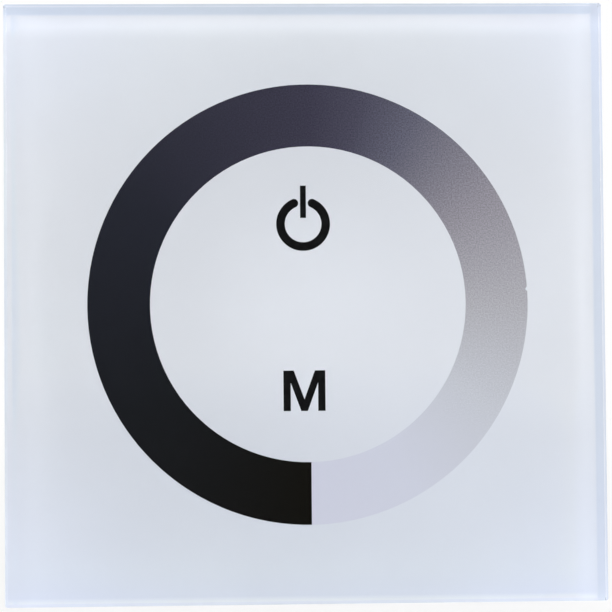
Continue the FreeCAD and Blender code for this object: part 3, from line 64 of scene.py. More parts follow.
# %% Colours and nodes
def colour(code):
    """Linear RGBA of an sRGB hex code: c / 12.92 when dark, else ((c + 0.055) / 1.055) ^ 2.4."""
    srgb = np.array([int(code[i:i + 2], 16) for i in (1, 3, 5)]) / 255
    linear = np.where(srgb <= 0.04045, srgb / 12.92, ((srgb + 0.055) / 1.055) ** 2.4)
    return (*linear.tolist(), 1.0)


def add(tree, kind, settings=(), inputs=(), stops=()):
    """Adds a node. Settings are a dict, or just its operation; inputs are a dict, or a tuple in
    their order; stops are a ramp's. An input is a value, another node's output, or another
    node, which stands for its first output."""
    node = tree.nodes.new("ShaderNode" + kind)
    if isinstance(settings, str):
        settings = {"operation": settings}
    for name, value in dict(settings).items():
        setattr(node, name, value)
    for name, value in enumerate(inputs) if isinstance(inputs, tuple) else inputs.items():
        if isinstance(value, bpy.types.Node):
            value = value.outputs[0]
        if isinstance(value, bpy.types.NodeSocket):
            tree.links.new(value, node.inputs[name])
        else:
            node.inputs[name].default_value = value
    if stops:
        elements = node.color_ramp.elements
        for place, _ in stops[1:-1]:
            elements.new(place)
        elements[0].position, elements[-1].position = stops[0][0], stops[-1][0]
        for element, (_, code) in zip(elements, stops):
            element.color = colour(code)
    return node


RGBA = {"data_type": "RGBA"}
SMOOTH_STEP = {"interpolation_type": "SMOOTHSTEP"}


def new_tree(name):
    """An empty material of that name, its node tree, and the place on the object in metres."""
    material = bpy.data.materials.new(name)
    material.use_nodes = True
    tree = material.node_tree
    tree.nodes.clear()
    return material, tree, add(tree, "TexCoord").outputs["Object"]


def dress(material, *names):
    """Puts the material on those CAD nodes, whose meshes and places stay as they are."""
    for name in names:
        nodes[name].data.materials.clear()
        nodes[name].data.materials.append(material)
    print(material.name, "on", ", ".join(names))


# %% [markdown]
# ## Camera
#
# The photograph was taken close and almost square on, a little low and to the left, so the
# glass fills the frame. The camera's place and lens were worked out from the four corners of
# the glass. A turn of half a degree about the line of sight makes up for how the object leaned.

# %% Camera
EYE = Vector((-8.0, -268.0, -7.6)) * MM
LOOKED_AT = Vector((-0.01, -11.0, -0.5)) * MM
camera = bpy.data.objects.new("camera", bpy.data.cameras.new("camera"))
camera.data.lens = 105.9
camera.data.sensor_width = 36.0
camera.data.clip_start = 0.01
camera.location = EYE
camera.rotation_mode = "QUATERNION"
lean = Quaternion((0, 0, 1), math.radians(-0.47))
camera.rotation_quaternion = (LOOKED_AT - EYE).to_track_quat("-Z", "Y") @ lean
bpy.context.scene.collection.objects.link(camera)
bpy.context.scene.camera = camera
bpy.context.scene.view_settings.view_transform = "Standard"
print("camera", round((LOOKED_AT - EYE).length / MM), "mm from the glass")

# %% [markdown]
# ## Glass
#
# The panel is 4 mm toughened glass with a polished bevel all round. Glass shows its print well
# only if no air lies between them, so its back reaches a hair into the ink, as the fired ink
# does on the real panel. A profile carried round the outline makes it: front face, bevel, side
# and back, with the edge between each two dulled by 0.02 mm of polishing, because it is there
# that glass catches the light.

# %% Glass piece
GLASS_LOW, GLASS_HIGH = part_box("glass_panel")
BEVEL = 0.5 * MM
CORNER = 0.3 * MM
ARRIS = 0.02 * MM
INK_DEPTH = 0.05 * MM
BACK_RIM = 0.4 * MM


def rounded_profile(points, reach, steps=5):
    """An open profile whose inner corners become parabolas that start and end at reach from
    them: (1 - t)^2 before + 2 t (1 - t) corner + t^2 after, for t from 0 to 1."""
    points = np.asarray(points, float)
    t = np.linspace(0, 1, steps)[:, None]
    runs = np.diff(points, axis=0)
    runs /= np.linalg.norm(runs, axis=1)[:, None]
    corners = points[1:-1]
    before, after = corners - reach * runs[:-1], corners + reach * runs[1:]
    arcs = ((1 - t) ** 2 * before[:, None] + 2 * t * (1 - t) * corners[:, None]
            + t ** 2 * after[:, None])
    return np.vstack([points[:1], arcs.reshape(-1, 2), points[-1:]])


def round_square(half, corner, profile, steps=8, least=0.01 * MM):
    """A profile of (inset, y) carried round a square with round corners. Corner k is an arc of
    radius corner - inset, or the least if that is more, and its centre keeps the sides at
    half - inset."""
    inset, depth = profile[:, 0], profile[:, 1]
    turn = (np.arange(4)[:, None] + np.linspace(0, 1, steps)) * math.pi / 2
    signs_x, signs_z = np.array([1, -1, -1, 1]), np.array([1, 1, -1, -1])
    radius = np.maximum(corner - inset, least)
    centre = half - inset - radius
    x = signs_x[:, None, None] * centre + np.cos(turn)[..., None] * radius
    z = signs_z[:, None, None] * centre + np.sin(turn)[..., None] * radius
    points = np.stack([x, np.broadcast_to(depth, x.shape), z], axis=-1)
    return points.reshape(4 * steps, len(profile), 3)


def closed_mesh(name, grids, looped=False):
    """A mesh of tubes: each grid of rings gets quads, and a flat face at either end, or, where
    it is looped, quads from its last ring back to its first."""
    points, faces, first = [], [], 0
    for grid in grids:
        around, along = grid.shape[:2]
        index = first + np.arange(around * along).reshape(around, along)
        if looped:
            index = np.hstack([index, index[:, :1]])
        after = np.roll(index, -1, axis=0)
        quads = np.stack([index[:, :-1], index[:, 1:], after[:, 1:], after[:, :-1]], axis=-1)
        faces += quads.reshape(-1, 4).tolist()
        if not looped:
            faces += [index[:, 0].tolist(), index[::-1, -1].tolist()]
        points.append(grid.reshape(-1, 3))
        first += around * along
    mesh = bpy.data.meshes.new(name)
    mesh.from_pydata(np.concatenate(points).tolist(), [], faces)
    work = bmesh.new()
    work.from_mesh(mesh)
    bmesh.ops.recalc_face_normals(work, faces=work.faces)
    work.to_mesh(mesh)
    work.free()
    print(name, len(mesh.polygons), "faces")
    return mesh


def place_piece(name, mesh, material, body, slot, *replaced):
    """Puts a mesh into the scene as a piece that rides on a body and stands for CAD nodes."""
    mesh.materials.clear()
    mesh.materials.append(material)
    piece = bpy.data.objects.new(name, mesh)
    bpy.context.scene.collection.objects.link(piece)
    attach(piece, body)
    if replaced:
        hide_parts(*replaced)
    return piece


half = GLASS_HIGH.x
front, back = GLASS_LOW.y, GLASS_HIGH.y + INK_DEPTH
side_profile = rounded_profile([(half / 2, front), (BEVEL, front), (0, front + BEVEL),
                                (0, back), (BACK_RIM, back)], ARRIS)
glass_mesh = closed_mesh("glass", [round_square(half, CORNER, side_profile)])

# %% [markdown]
# Clear float glass: smooth, IOR 1.52. The little iron in it swallows red light, 3 parts in a
# thousand per millimetre, and less of blue and green. Through 4 mm this hardly shows, but along
# the 86 mm from edge to edge the glass looks sea green. A lamp's light has to pass through it to
# the ink, and ray tracers only let shadow rays pass through something transparent, so for these
# rays alone the surface is a plain transparent sheet.

# %% Glass material
GLASS_ABSORPTION = 3.0
CLEAR = colour("#FDFFFF")


def open_to_lamps(tree, shader, tint):
    """The shader, but for shadow rays a plain transparent sheet of that tint."""
    rays = add(tree, "LightPath")
    sheet = add(tree, "BsdfTransparent", inputs={"Color": tint})
    return add(tree, "MixShader", inputs=(rays.outputs["Is Shadow Ray"], shader, sheet))


clear_glass, tree, _ = new_tree("clear_float_glass")
shader = add(tree, "BsdfPrincipled", inputs={
    "Base Color": CLEAR, "Roughness": 0.0, "IOR": 1.52, "Transmission Weight": 1.0})
both = open_to_lamps(tree, shader, CLEAR)
tint = add(tree, "VolumeAbsorption", inputs={
    "Color": colour("#00D9BC"), "Density": GLASS_ABSORPTION})
add(tree, "OutputMaterial", inputs={"Surface": both, "Volume": tint})
place_piece("glass", glass_mesh, clear_glass, "front_panel", "clear_glass", "glass_panel")

# %% [markdown]
# ## Inks behind the glass
#
# The white is a fired ceramic ink, slightly blue, screen printed over the darker prints, so it is
# their background. Screen printing leaves it even, with a very faint cloudiness where the ink is
# thicker. Over it lies painted shade: towards each side the colour follows a ramp over the distance
# from that side, in mm, which also darkens the face broadly and faintly. At the top and right a rim
# of 1 mm is painted darker and bluer, as shade, and at the bottom the painted shade stands for the
# shade of the glass over it. In a corner the darkest ramp counts. Just inside the rims at the top
# and right lies a brighter band of painted light, for light that the glass takes in at its side,
# and the corners, which take it in from two sides, are painted lighter and bluer.
# All three inks are bonded to glass of about their own index, with no air between, so they have
# no gloss of their own: their specular level is 0, and all gloss comes from the front of the
# glass.

# %% White ink
BORDER = 43 * MM
TOP_PAINTED_SHADE = [(1.09, "#E0E7EF"), (1.24, "#F2F3F6"), (2.2, "#F4F5F6"), (3.0, "#F1F2F3"),
            (4.5, "#EBECED"), (23.0, "#EDEDEE"), (43.0, "#F2F2F3")]
RIGHT_PAINTED_SHADE = [(1.1, "#DFE4EC"), (1.27, "#F2F3F5"), (2.3, "#F4F4F5"), (4.5, "#EEEEEF"),
              (8.0, "#F0F0F1"), (23.0, "#F4F4F5")]
LEFT_PAINTED_SHADE = [(0.6, "#F5F5F5"), (0.9, "#E9EDF2"), (1.1, "#E9EDF2"), (2.2, "#F2F3F4"),
             (5.0, "#F1F2F3"), (23.0, "#F4F4F5")]
BOTTOM_PAINTED_SHADE = [(0.4, "#F0F2F5"), (1.0, "#E6E9F0"), (2.0, "#E8EBF1"), (4.6, "#EBEEF2"),
               (9.0, "#EBEDF1"), (24.0, "#ECEDF0"), (38.0, "#F4F4F5")]
GLOW = [(1.1, "#000000"), (1.8, "#303030"), (2.9, "#383838"), (3.4, "#2A2A2A"),
        (4.8, "#000000")]
CORNER_LIGHT_START, CORNER_LIGHT_FULL = 24 * MM, 41 * MM
CLOUD = 22 * MM
PRINT = {"Roughness": 0.55, "Specular IOR Level": 0.0}
white_ink, tree, place = new_tree("white_ceramic_ink_painted_light_and_shade")
painted_light_and_tone, glow = colour("#FFFFFF"), colour("#000000")
# Each side's ramp is painted shade: the ink's colour is the darkest of them.
for way, shade_stops, shine in (((0, 0, 1), TOP_PAINTED_SHADE, GLOW), ((1, 0, 0), RIGHT_PAINTED_SHADE, GLOW),
                          ((-1, 0, 0), LEFT_PAINTED_SHADE, ()), ((0, 0, -1), BOTTOM_PAINTED_SHADE, ())):
    along = add(tree, "VectorMath", "DOT_PRODUCT", (place, way))
    inward = add(tree, "MapRange", inputs={
        "Value": along.outputs["Value"], "From Min": GLASS_HIGH.x,
        "From Max": GLASS_HIGH.x - BORDER})
    edge = add(tree, "ValToRGB", inputs={"Fac": inward}, stops=[
        (depth * MM / BORDER, code) for depth, code in shade_stops])
    painted_light_and_tone = add(tree, "Mix", {**RGBA, "blend_type": "DARKEN"}, {
        0: 1.0, 6: painted_light_and_tone, 7: edge}).outputs[2]
    # At the top and right a second ramp paints light: a brighter band just inside the rim.
    if shine:
        light = add(tree, "ValToRGB", inputs={"Fac": inward}, stops=[
            (depth * MM / BORDER, code) for depth, code in shine])
        glow = add(tree, "Mix", {**RGBA, "blend_type": "LIGHTEN"}, {
            0: 1.0, 6: glow, 7: light}).outputs[2]
# The corners get painted light: a pale blue is added where |x| and |z| are both large.
from_middle = add(tree, "VectorMath", "ABSOLUTE", (place,))
axes = add(tree, "SeparateXYZ", inputs={"Vector": from_middle})
cornered = add(tree, "Math", "MULTIPLY", (axes.outputs["X"], axes.outputs["Z"]))
corners = add(tree, "MapRange", SMOOTH_STEP, {
    "Value": cornered, "From Min": CORNER_LIGHT_START ** 2, "From Max": CORNER_LIGHT_FULL ** 2})
clouds = add(tree, "TexNoise", inputs={"Vector": place, "Scale": 1 / CLOUD, "Detail": 2.0})
tone = add(tree, "ValToRGB", inputs={"Fac": clouds}, stops=[(0.3, "#EBEAF0"), (0.7, "#EEEDF3")])
# The painted light of the band and the corners is added, and the ink's cloudy tone multiplies in.
for kind, share, layer in (("ADD", 1.0, glow), ("ADD", corners, colour("#2A2E44")),
                           ("MULTIPLY", 1.0, tone)):
    painted_light_and_tone = add(tree, "Mix", {**RGBA, "blend_type": kind}, {0: share, 6: painted_light_and_tone, 7: layer}).outputs[2]
shader = add(tree, "BsdfPrincipled", inputs={"Base Color": painted_light_and_tone, **PRINT})
add(tree, "OutputMaterial", inputs={"Surface": shader})
dress(white_ink, "white_backing")

# %% [markdown]
# In the oven the ink runs on to the very edge of the glass. This last rim, 0.2 mm wide, is as
# thick as the rest, and without it a bright line would show inside the bevel.

# %% Rim of the ink
INK_LOW, INK_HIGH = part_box("white_backing")
RIM_GAP = 0.02 * MM
rim_width = half - RIM_GAP - INK_HIGH.x
rim_profile = np.array([(0, INK_LOW.y), (0, INK_HIGH.y), (rim_width, INK_HIGH.y),
                        (rim_width, INK_LOW.y)])
rim = closed_mesh("white_ink_rim", [round_square(half - RIM_GAP, CORNER, rim_profile)],
                  looped=True)
place_piece("white_ink_rim", rim, white_ink, "front_panel", "white_ink")

# %% [markdown]
# The ring shows how the finger dims the lamp: black just left of six o'clock, then ever
# lighter clockwise until it meets the black end again. A screen print makes greys from dots of
# ink, so the middle tones look a little sandy. The fade follows the angle round the centre, and
# the grain is strongest where dots and gaps are of one size, 0.2 mm apart. At three o'clock a
# speck of dust in the print has left a nick of white in the rim.

# %% Fading ring
SEAM = 0.27 * MM
DOT = 0.2 * MM
NICK_Z, NICK_SIZE = 1.85 * MM, 0.3 * MM
ring_low, ring_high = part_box("dimming_ring")
ring_x, ring_z = (ring_low.x + ring_high.x) / 2, (ring_low.z + ring_high.z) / 2
fade_ink, tree, place = new_tree("screen_printed_fade")
centred = add(tree, "Mapping", inputs={
    "Vector": place, "Location": (ring_x + SEAM, 0, ring_z), "Scale": (-1, 1, -1)})
axes = add(tree, "SeparateXYZ", inputs={"Vector": centred})
angle = add(tree, "Math", "ARCTAN2", (axes.outputs["X"], axes.outputs["Z"]))
turns = add(tree, "Math", "DIVIDE", (angle, 2 * math.pi))
share = add(tree, "Math", "FRACT", (turns,))
fade = add(tree, "ValToRGB", inputs={"Fac": share}, stops=[
    (0.0, "#12100C"), (0.17, "#1C1D21"), (0.33, "#262730"), (0.5, "#3D3A49"), (0.542, "#4B4858"),
    (0.583, "#62606F"), (0.667, "#948E97"), (0.75, "#B0ACB2"), (0.833, "#C6C5CD"),
    (0.917, "#CFCEDB"), (1.0, "#D2D0DF")])
dots = add(tree, "TexNoise", inputs={"Vector": place, "Scale": 1 / DOT, "Detail": 1.0})
strength = add(tree, "ValToRGB", inputs={"Fac": share}, stops=[
    (0.3, "#282828"), (0.58, "#FFFFFF"), (0.9, "#202020")])
swing = add(tree, "MapRange", inputs={
    "Value": dots, "From Min": 0.3, "From Max": 0.7, "To Min": -0.3, "To Max": 0.3})
grain = add(tree, "Math", "MULTIPLY", (swing, strength))
gain = add(tree, "Math", "ADD", (grain, 1.0))
sandy = add(tree, "VectorMath", "SCALE", {0: fade, "Scale": gain})
to_nick = add(tree, "VectorMath", "DISTANCE", (place, (ring_high.x, ring_low.y, NICK_Z)))
nick = add(tree, "Math", "LESS_THAN", (to_nick.outputs["Value"], NICK_SIZE))
printed = add(tree, "Mix", RGBA, {0: nick, 6: sandy, 7: colour("#DFE1E8")})
shader = add(tree, "BsdfPrincipled", inputs={"Base Color": printed.outputs[2], **PRINT})
add(tree, "OutputMaterial", inputs={"Surface": shader})
dress(fade_ink, "dimming_ring")

# %% [markdown]
# The power sign and the letter are one solid black ink. Its film is a little uneven, which
# shows only as a very slight change of tone. Many materials below are uneven in the same way,
# with other patches, tones and gloss, so a function makes them all.

# %% Black ink
def uneven(name, patch, tones, looks, noise=(), stretch=(1, 1, 1), dulled=None, relief=None,
           texture="TexNoise"):
    """A material that one texture, with patches of that size, makes uneven. Its tones are a
    ramp's stops. Where given, dulled holds a range of the texture and the range of roughness
    that it becomes, and relief a strength and a depth. Looks and noise are inputs of the shader
    and of the texture."""
    material, tree, place = new_tree(name)
    drawn = add(tree, "Mapping", inputs={"Vector": place, "Scale": stretch})
    patches = add(tree, texture, inputs={"Vector": drawn, "Scale": 1 / patch, **dict(noise)})
    tone = add(tree, "ValToRGB", inputs={"Fac": patches}, stops=tones)
    looks = {"Base Color": tone, **looks}
    if dulled:
        looks["Roughness"] = add(tree, "MapRange", inputs=(patches, *dulled))
    if relief:
        looks["Normal"] = add(tree, "Bump", inputs={
            "Height": patches, "Strength": relief[0], "Distance": relief[1]})
    shader = add(tree, "BsdfPrincipled", inputs=looks)
    add(tree, "OutputMaterial", inputs={"Surface": shader})
    return material


black_ink = uneven("black_ceramic_ink", 0.6 * MM, [(0.3, "#101011"), (0.7, "#171718")],
                   {"Roughness": 0.5, "Specular IOR Level": 0.0})
dress(black_ink, "power_mark", "mode_mark")

# %% [markdown]
# ## Moulded plastics
#
# A mould has no perfectly sharp edges, and a moulded edge shows as a thin line of light. The
# CAD solids are sharp, so a copy of each large moulding has its loose triangles merged, its
# flat parts joined and its edges rounded by a Bevel modifier.

# %% Rounded copies
MERGED = 0.002 * MM
FLAT, SMOOTH, EDGE = math.radians(0.5), math.radians(30), math.radians(40)


def shade_smooth(mesh, angle):
    """Shades a mesh smooth across edges that turn by less than that angle."""
    mesh.polygons.foreach_set("use_smooth", np.ones(len(mesh.polygons), bool))
    mesh.set_sharp_from_angle(angle=angle)


def soften(name, width, material, body, slot):
    """A merged copy of a CAD node with its sharp edges rounded to that width."""
    mesh = nodes[name].data.copy()
    work = bmesh.new()
    work.from_mesh(mesh)
    bmesh.ops.remove_doubles(work, verts=work.verts, dist=MERGED)
    bmesh.ops.dissolve_limit(work, angle_limit=FLAT, verts=work.verts, edges=work.edges)
    work.to_mesh(mesh)
    work.free()
    shade_smooth(mesh, SMOOTH)
    piece = place_piece(name + "_moulded", mesh, material, body, slot, name)
    rounding = piece.modifiers.new("rounded edges", "BEVEL")
    rounding.width = width
    rounding.segments = 2
    rounding.limit_method = "ANGLE"
    rounding.angle_limit = EDGE
    rounding.use_clamp_overlap = False
    rounding.harden_normals = True
    print(piece.name, len(mesh.polygons), "faces before rounding")
    return piece


# %% [markdown]
# White ABS, injection moulded in a spark-eroded tool: an even, fine, dull texture that takes
# the shine off and hides sink marks. The grain of such a tool is about 0.1 mm; it is drawn at
# 0.25 mm to show. Handling and flow leave broad, faint changes of tone. On the tub's rear a
# soft pad has printed the poles over the terminals: a plus over each outer screw, a minus over
# each inner one.

# %% White ABS
PLUS_X, MINUS_X, MARKS_Z = 11.54 * MM, 6.46 * MM, -8.6 * MM
LONG, THIN = 1.3 * MM, 0.26 * MM
TUB_REAR = 24.5 * MM
SPARK, FLOW = 0.25 * MM, 14 * MM


def white_abs(name, strokes=()):
    """Spark-textured white ABS. Each stroke is a dark grey mark on the tub's rear, given by the
    |x| of its middle and its half sizes in x and z: it is where both lie within them."""
    material, tree, place = new_tree(name)
    spark = add(tree, "TexNoise", inputs={
        "Vector": place, "Scale": 1 / SPARK, "Detail": 3.0, "Roughness": 0.6})
    flow = add(tree, "TexNoise", inputs={
        "Vector": place, "Scale": 1 / FLOW, "Detail": 3.0, "Distortion": 0.6})
    tone = add(tree, "ValToRGB", inputs={"Fac": flow}, stops=[(0.3, "#E1E1DE"), (0.7, "#E6E6E4")])
    dulled = add(tree, "MapRange", inputs={
        "Value": spark, "From Min": 0.3, "From Max": 0.7, "To Min": 0.42, "To Max": 0.58})
    relief = add(tree, "Bump", inputs={"Height": spark, "Strength": 0.35, "Distance": 0.02 * MM})
    if strokes:
        axes = add(tree, "SeparateXYZ", inputs={"Vector": place})
        side = add(tree, "Math", "ABSOLUTE", (axes.outputs["X"],))
        rear = add(tree, "Math", "GREATER_THAN", (axes.outputs["Y"], TUB_REAR))
    for middle, half_x, half_z in strokes:
        across, upward = [add(tree, "Math", "COMPARE", (way, centre, reach))
                          for way, centre, reach in ((side, middle, half_x),
                                                     (axes.outputs["Z"], MARKS_Z, half_z))]
        inside = add(tree, "Math", "MULTIPLY", (across, upward))
        printed = add(tree, "Math", "MULTIPLY", (inside, rear))
        tone = add(tree, "Mix", RGBA, {0: printed, 6: tone, 7: colour("#4A4B4D")}).outputs[2]
    shader = add(tree, "BsdfPrincipled", inputs={
        "Base Color": tone, "Roughness": dulled, "IOR": 1.53, "Normal": relief})
    add(tree, "OutputMaterial", inputs={"Surface": shader})
    return material


plain_abs = white_abs("white_abs_spark_texture")
marked_abs = white_abs("white_abs_with_pole_marks", [
    (PLUS_X, LONG, THIN), (PLUS_X, THIN, LONG), (MINUS_X, LONG, THIN)])
soften("front_frame", 0.18 * MM, plain_abs, "front_panel", "white_abs")
soften("mounting_plate", 0.15 * MM, plain_abs, "base", "white_abs")
soften("rear_housing", 0.18 * MM, marked_abs, "base", "white_abs")

# %% [markdown]
# The terminal blocks are glass-filled polyamide: a little glossier than ABS, saturated green,
# with faint flow marks from the filler, longer along the block than across it.

# %% Green polyamide
green_polyamide = uneven(
    "green_polyamide", 1.1 * MM, [(0.25, "#1D6B37"), (0.75, "#2A8247")],
    {"Roughness": 0.38, "IOR": 1.53}, {"Detail": 5.0, "Distortion": 0.8}, stretch=(0.35, 1, 1),
    relief=(0.2, 0.02 * MM))
for block in ("input_terminal", "output_terminal"):
    soften(block, 0.12 * MM, green_polyamide, "base", "green_polyamide")

# %% [markdown]
# The pin header and its socket are black nylon, smooth from a polished mould, with a soft
# shine that is broken by fine scuffs.

# %% Black nylon
black_nylon = uneven("black_nylon", 0.5 * MM, [(0.3, "#19191A"), (0.7, "#232324")],
                     {"IOR": 1.53}, {"Detail": 4.0}, dulled=(0.0, 1.0, 0.3, 0.55))
dress(black_nylon, "header_base", "board_socket")

# %% [markdown]
# ## Circuit boards
#
# A board is glass cloth in epoxy under a thin coat of solder mask, green on the power board and
# white behind the glass, where a dark board could shine through. The weave of the cloth, 0.6 mm
# from thread to thread, stands out a little, and the coat's thickness drifts, so its tone does
# too. The cut edge shows the bare laminate, pale yellow. Over copper the mask lies smooth, and
# has a tone of its own.

# %% Circuit boards
THREAD = 0.6 * MM
WEAVE_DEPTH = 0.01 * MM
COAT_PATCH = 5 * MM
LAMINATE = "#C2B98D"


def solder_mask(name, dark, light, over_cloth=True):
    """Solder mask between two tones. Over cloth it has a relief of sin(x) sin(z), one turn per
    thread, and the bare laminate's tone on faces that don't look along Y, the cut edges."""
    material, tree, place = new_tree(name)
    coat = add(tree, "TexNoise", inputs={"Vector": place, "Scale": 1 / COAT_PATCH})
    tone = add(tree, "ValToRGB", inputs={"Fac": coat}, stops=[(0.3, dark), (0.7, light)])
    looks = {"Base Color": tone, "Roughness": 0.32, "IOR": 1.5}
    if over_cloth:
        threads = add(tree, "VectorMath", "SCALE", {0: place, "Scale": 2 * math.pi / THREAD})
        axes = add(tree, "SeparateXYZ", inputs={"Vector": threads})
        warp, weft = [add(tree, "Math", "SINE", (axes.outputs[axis],)) for axis in "XZ"]
        weave = add(tree, "Math", "MULTIPLY", (warp, weft))
        looks["Normal"] = add(tree, "Bump", inputs={
            "Height": weave, "Strength": 0.25, "Distance": WEAVE_DEPTH})
        direction = add(tree, "SeparateXYZ", inputs={"Vector": place.node.outputs["Normal"]})
        facing = add(tree, "Math", "ABSOLUTE", (direction.outputs["Y"],))
        edge = add(tree, "Math", "LESS_THAN", (facing, 0.5))
        looks["Base Color"] = add(tree, "Mix", RGBA, {
            0: edge, 6: tone, 7: colour(LAMINATE)}).outputs[2]
    shader = add(tree, "BsdfPrincipled", inputs=looks)
    add(tree, "OutputMaterial", inputs={"Surface": shader})
    return material


dress(solder_mask("green_solder_mask", "#11412A", "#16492F"), "power_board")
dress(solder_mask("white_solder_mask", "#DCDED9", "#E3E4E0"), "touch_board")

# %% [markdown]
# The touch pads are bare copper foil, etched and then slightly tarnished: a warm metal whose
# tone drifts from pink to brown in soft patches, with fine brushing from cleaning.

# %% Copper pads
bare_copper, tree, place = new_tree("etched_copper_foil")
tarnish = add(tree, "TexNoise", inputs={"Vector": place, "Scale": 1 / (6 * MM), "Detail": 4.0})
tone = add(tree, "ValToRGB", inputs={"Fac": tarnish}, stops=[(0.3, "#B9714F"), (0.7, "#D79A76")])
rubbed = add(tree, "Mapping", inputs={"Vector": place, "Scale": (0.05, 1, 1)})
brushing = add(tree, "TexNoise", inputs={"Vector": rubbed, "Scale": 1 / (0.12 * MM)})
dulled = add(tree, "MapRange", inputs={"Value": brushing, "To Min": 0.22, "To Max": 0.42})
shader = add(tree, "BsdfPrincipled", inputs={
    "Base Color": tone, "Metallic": 1.0, "Roughness": dulled})
add(tree, "OutputMaterial", inputs={"Surface": shader})
dress(bare_copper, "ring_electrodes", "key_electrodes")

# %% [markdown]
# ## Metals
#
# Screws are turned or cold-headed and then nickel plated: bright, with fine rings round the
# screw's axis that break up a reflection. The rings need the axis, so the material takes it
# from where the screws are. Screws of one node lie at the corners of a rectangle about the
# middle, which lets one formula serve all four: the distance from (|x|, |z|) to the axis. The
# rings are 0.05 mm apart on a real head and are drawn 0.16 mm apart.

# %% Screws
HEAD_RADIUS = {"touch_board_screws": 2.0 * MM, "housing_screws": 2.25 * MM,
               "power_board_screws": 2.0 * MM}
TURNING_STEP = 0.16 * MM


def screw_steel(name, node):
    """Nickel-plated steel with rings round the axis of the screw nearest to (|x|, |z|). A node of
    four screws has its outer axes a head's radius within its box, and one screw is in the middle
    of its own."""
    low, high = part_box(node)
    if node in HEAD_RADIUS:
        across, up = high.x - HEAD_RADIUS[node], high.z - HEAD_RADIUS[node]
    else:
        across, up = abs(low.x + high.x) / 2, abs(low.z + high.z) / 2
    material, tree, place = new_tree(name)
    folded = add(tree, "VectorMath", "ABSOLUTE", (place,))
    centred = add(tree, "Mapping", inputs={
        "Vector": folded, "Location": (-across, 0, -up), "Scale": (1, 0, 1)})
    distance = add(tree, "VectorMath", "LENGTH", (centred,))
    phase = add(tree, "Math", "MULTIPLY", (distance.outputs["Value"], 2 * math.pi / TURNING_STEP))
    rings = add(tree, "Math", "SINE", (phase,))
    smears = add(tree, "TexNoise", inputs={"Vector": place, "Scale": 1 / (1.2 * MM), "Detail": 3.0})
    dulled = add(tree, "MapRange", inputs={"Value": smears, "To Min": 0.16, "To Max": 0.4})
    tone = add(tree, "ValToRGB", inputs={"Fac": smears}, stops=[(0.3, "#A9A8A4"), (0.7, "#C4C3BF")])
    relief = add(tree, "Bump", inputs={"Height": rings, "Strength": 0.25, "Distance": 0.004 * MM})
    shader = add(tree, "BsdfPrincipled", inputs={
        "Base Color": tone, "Metallic": 1.0, "Roughness": dulled, "Normal": relief})
    add(tree, "OutputMaterial", inputs={"Surface": shader})
    return material


for kind, screws in (("board", ["touch_board_screws"]), ("housing", ["housing_screws"]),
                     ("power", ["power_board_screws"]),
                     ("outer", ["terminal_screw_1", "terminal_screw_4"]),
                     ("inner", ["terminal_screw_2", "terminal_screw_3"])):
    dress(screw_steel("nickel_plated_" + kind + "_screws", screws[-1]), *screws)

# %% [markdown]
# The other metals differ in how they were made. Zinc on the clamps is greyer and blotchy.
# Spring steel for the clips was rolled, which leaves fine lines one way. Tin on contacts and
# leads is bright and soft, with a slight yellow cast where brass lies under it.

# %% Sheet metals
def sheet_metal(name, dark, light, smoothest, roughest, patch, stretch=(1, 1, 1)):
    """A plated or rolled metal whose tone and shine drift over patches of that size."""
    return uneven(name, patch, [(0.3, dark), (0.7, light)], {"Metallic": 1.0}, {"Detail": 4.0},
                  stretch, (0.25, 0.75, smoothest, roughest), (0.3, 0.006 * MM))


dress(sheet_metal("zinc_plated_steel", "#8E9096", "#B4B6BA", 0.28, 0.5, 0.8 * MM),
      *["terminal_clamp_" + number for number in "1234"])
dress(sheet_metal("rolled_spring_steel", "#7C7E83", "#A2A4A8", 0.2, 0.38, 0.2 * MM,
                  (0.06, 1, 1)), "retaining_clips")
dress(sheet_metal("tinned_brass", "#B5AF9E", "#CFCBBF", 0.18, 0.36, 0.6 * MM),
      "terminal_contacts", "header_pins", "socket_contacts")
dress(sheet_metal("bright_tin", "#A9AAAC", "#CBCBCC", 0.16, 0.34, 0.4 * MM),
      "touch_controller_pins", "regulator_pins", "microcontroller_pins", "transistor_tabs",
      "transistor_leads", "diode_leads", "capacitor_leads", "inductor_terminals", "fuse_caps",
      "chip_resistors_ends", "touch_capacitors_ends")

# %% [markdown]
# ## Traces and vias
#
# One trace runs on the back of the touch board from each lead of the controller to a via under
# its pad: twelve pads of the ring and two keys. The last two leads go to their capacitors. A
# trace turns by 45 degrees only. It is a flat band carried along a bent line, and the mask over
# it stands up by the thickness of the copper. The lines' points are (x, z) in mm. Each line
# starts at a lead, an odd number of half pitches from the middle.

# %% Traces on the touch board
BOARD_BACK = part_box("touch_board")[1].y
COPPER = 0.035 * MM
PAD_CIRCLE = 24.5
LEAD_PITCH = 1.27
UP_LEADS, DOWN_LEADS = -0.95, -7.05


def bands(lines, width, level, height):
    """A band per bent line of (x, z). At a bend its edges meet on the bisector, so the offset is
    half the width times (n1 + n2) / (1 + n1 . n2), with n the unit normals of the two runs."""
    grids = []
    for line in lines:
        line = np.array(line) * MM
        runs = np.diff(line, axis=0)
        normals = np.stack([-runs[:, 1], runs[:, 0]], axis=-1)
        normals /= np.linalg.norm(runs, axis=1)[:, None]
        before, after = np.vstack([normals[:1], normals]), np.vstack([normals, normals[-1:]])
        offset = width / 2 * (before + after) / (1 + (before * after).sum(axis=1))[:, None]
        across = line[None] + offset * np.array([-1, -1, 1, 1])[:, None, None]
        lift = np.broadcast_to(level + height * np.array([[0], [1], [1], [0]]), across.shape[:2])
        grids.append(np.stack([across[..., 0], lift, across[..., 1]], axis=-1))
    return grids


def mirrored(lines):
    """The lines and their mirror images in x."""
    return lines + [[(-x, z) for x, z in line] for line in lines]


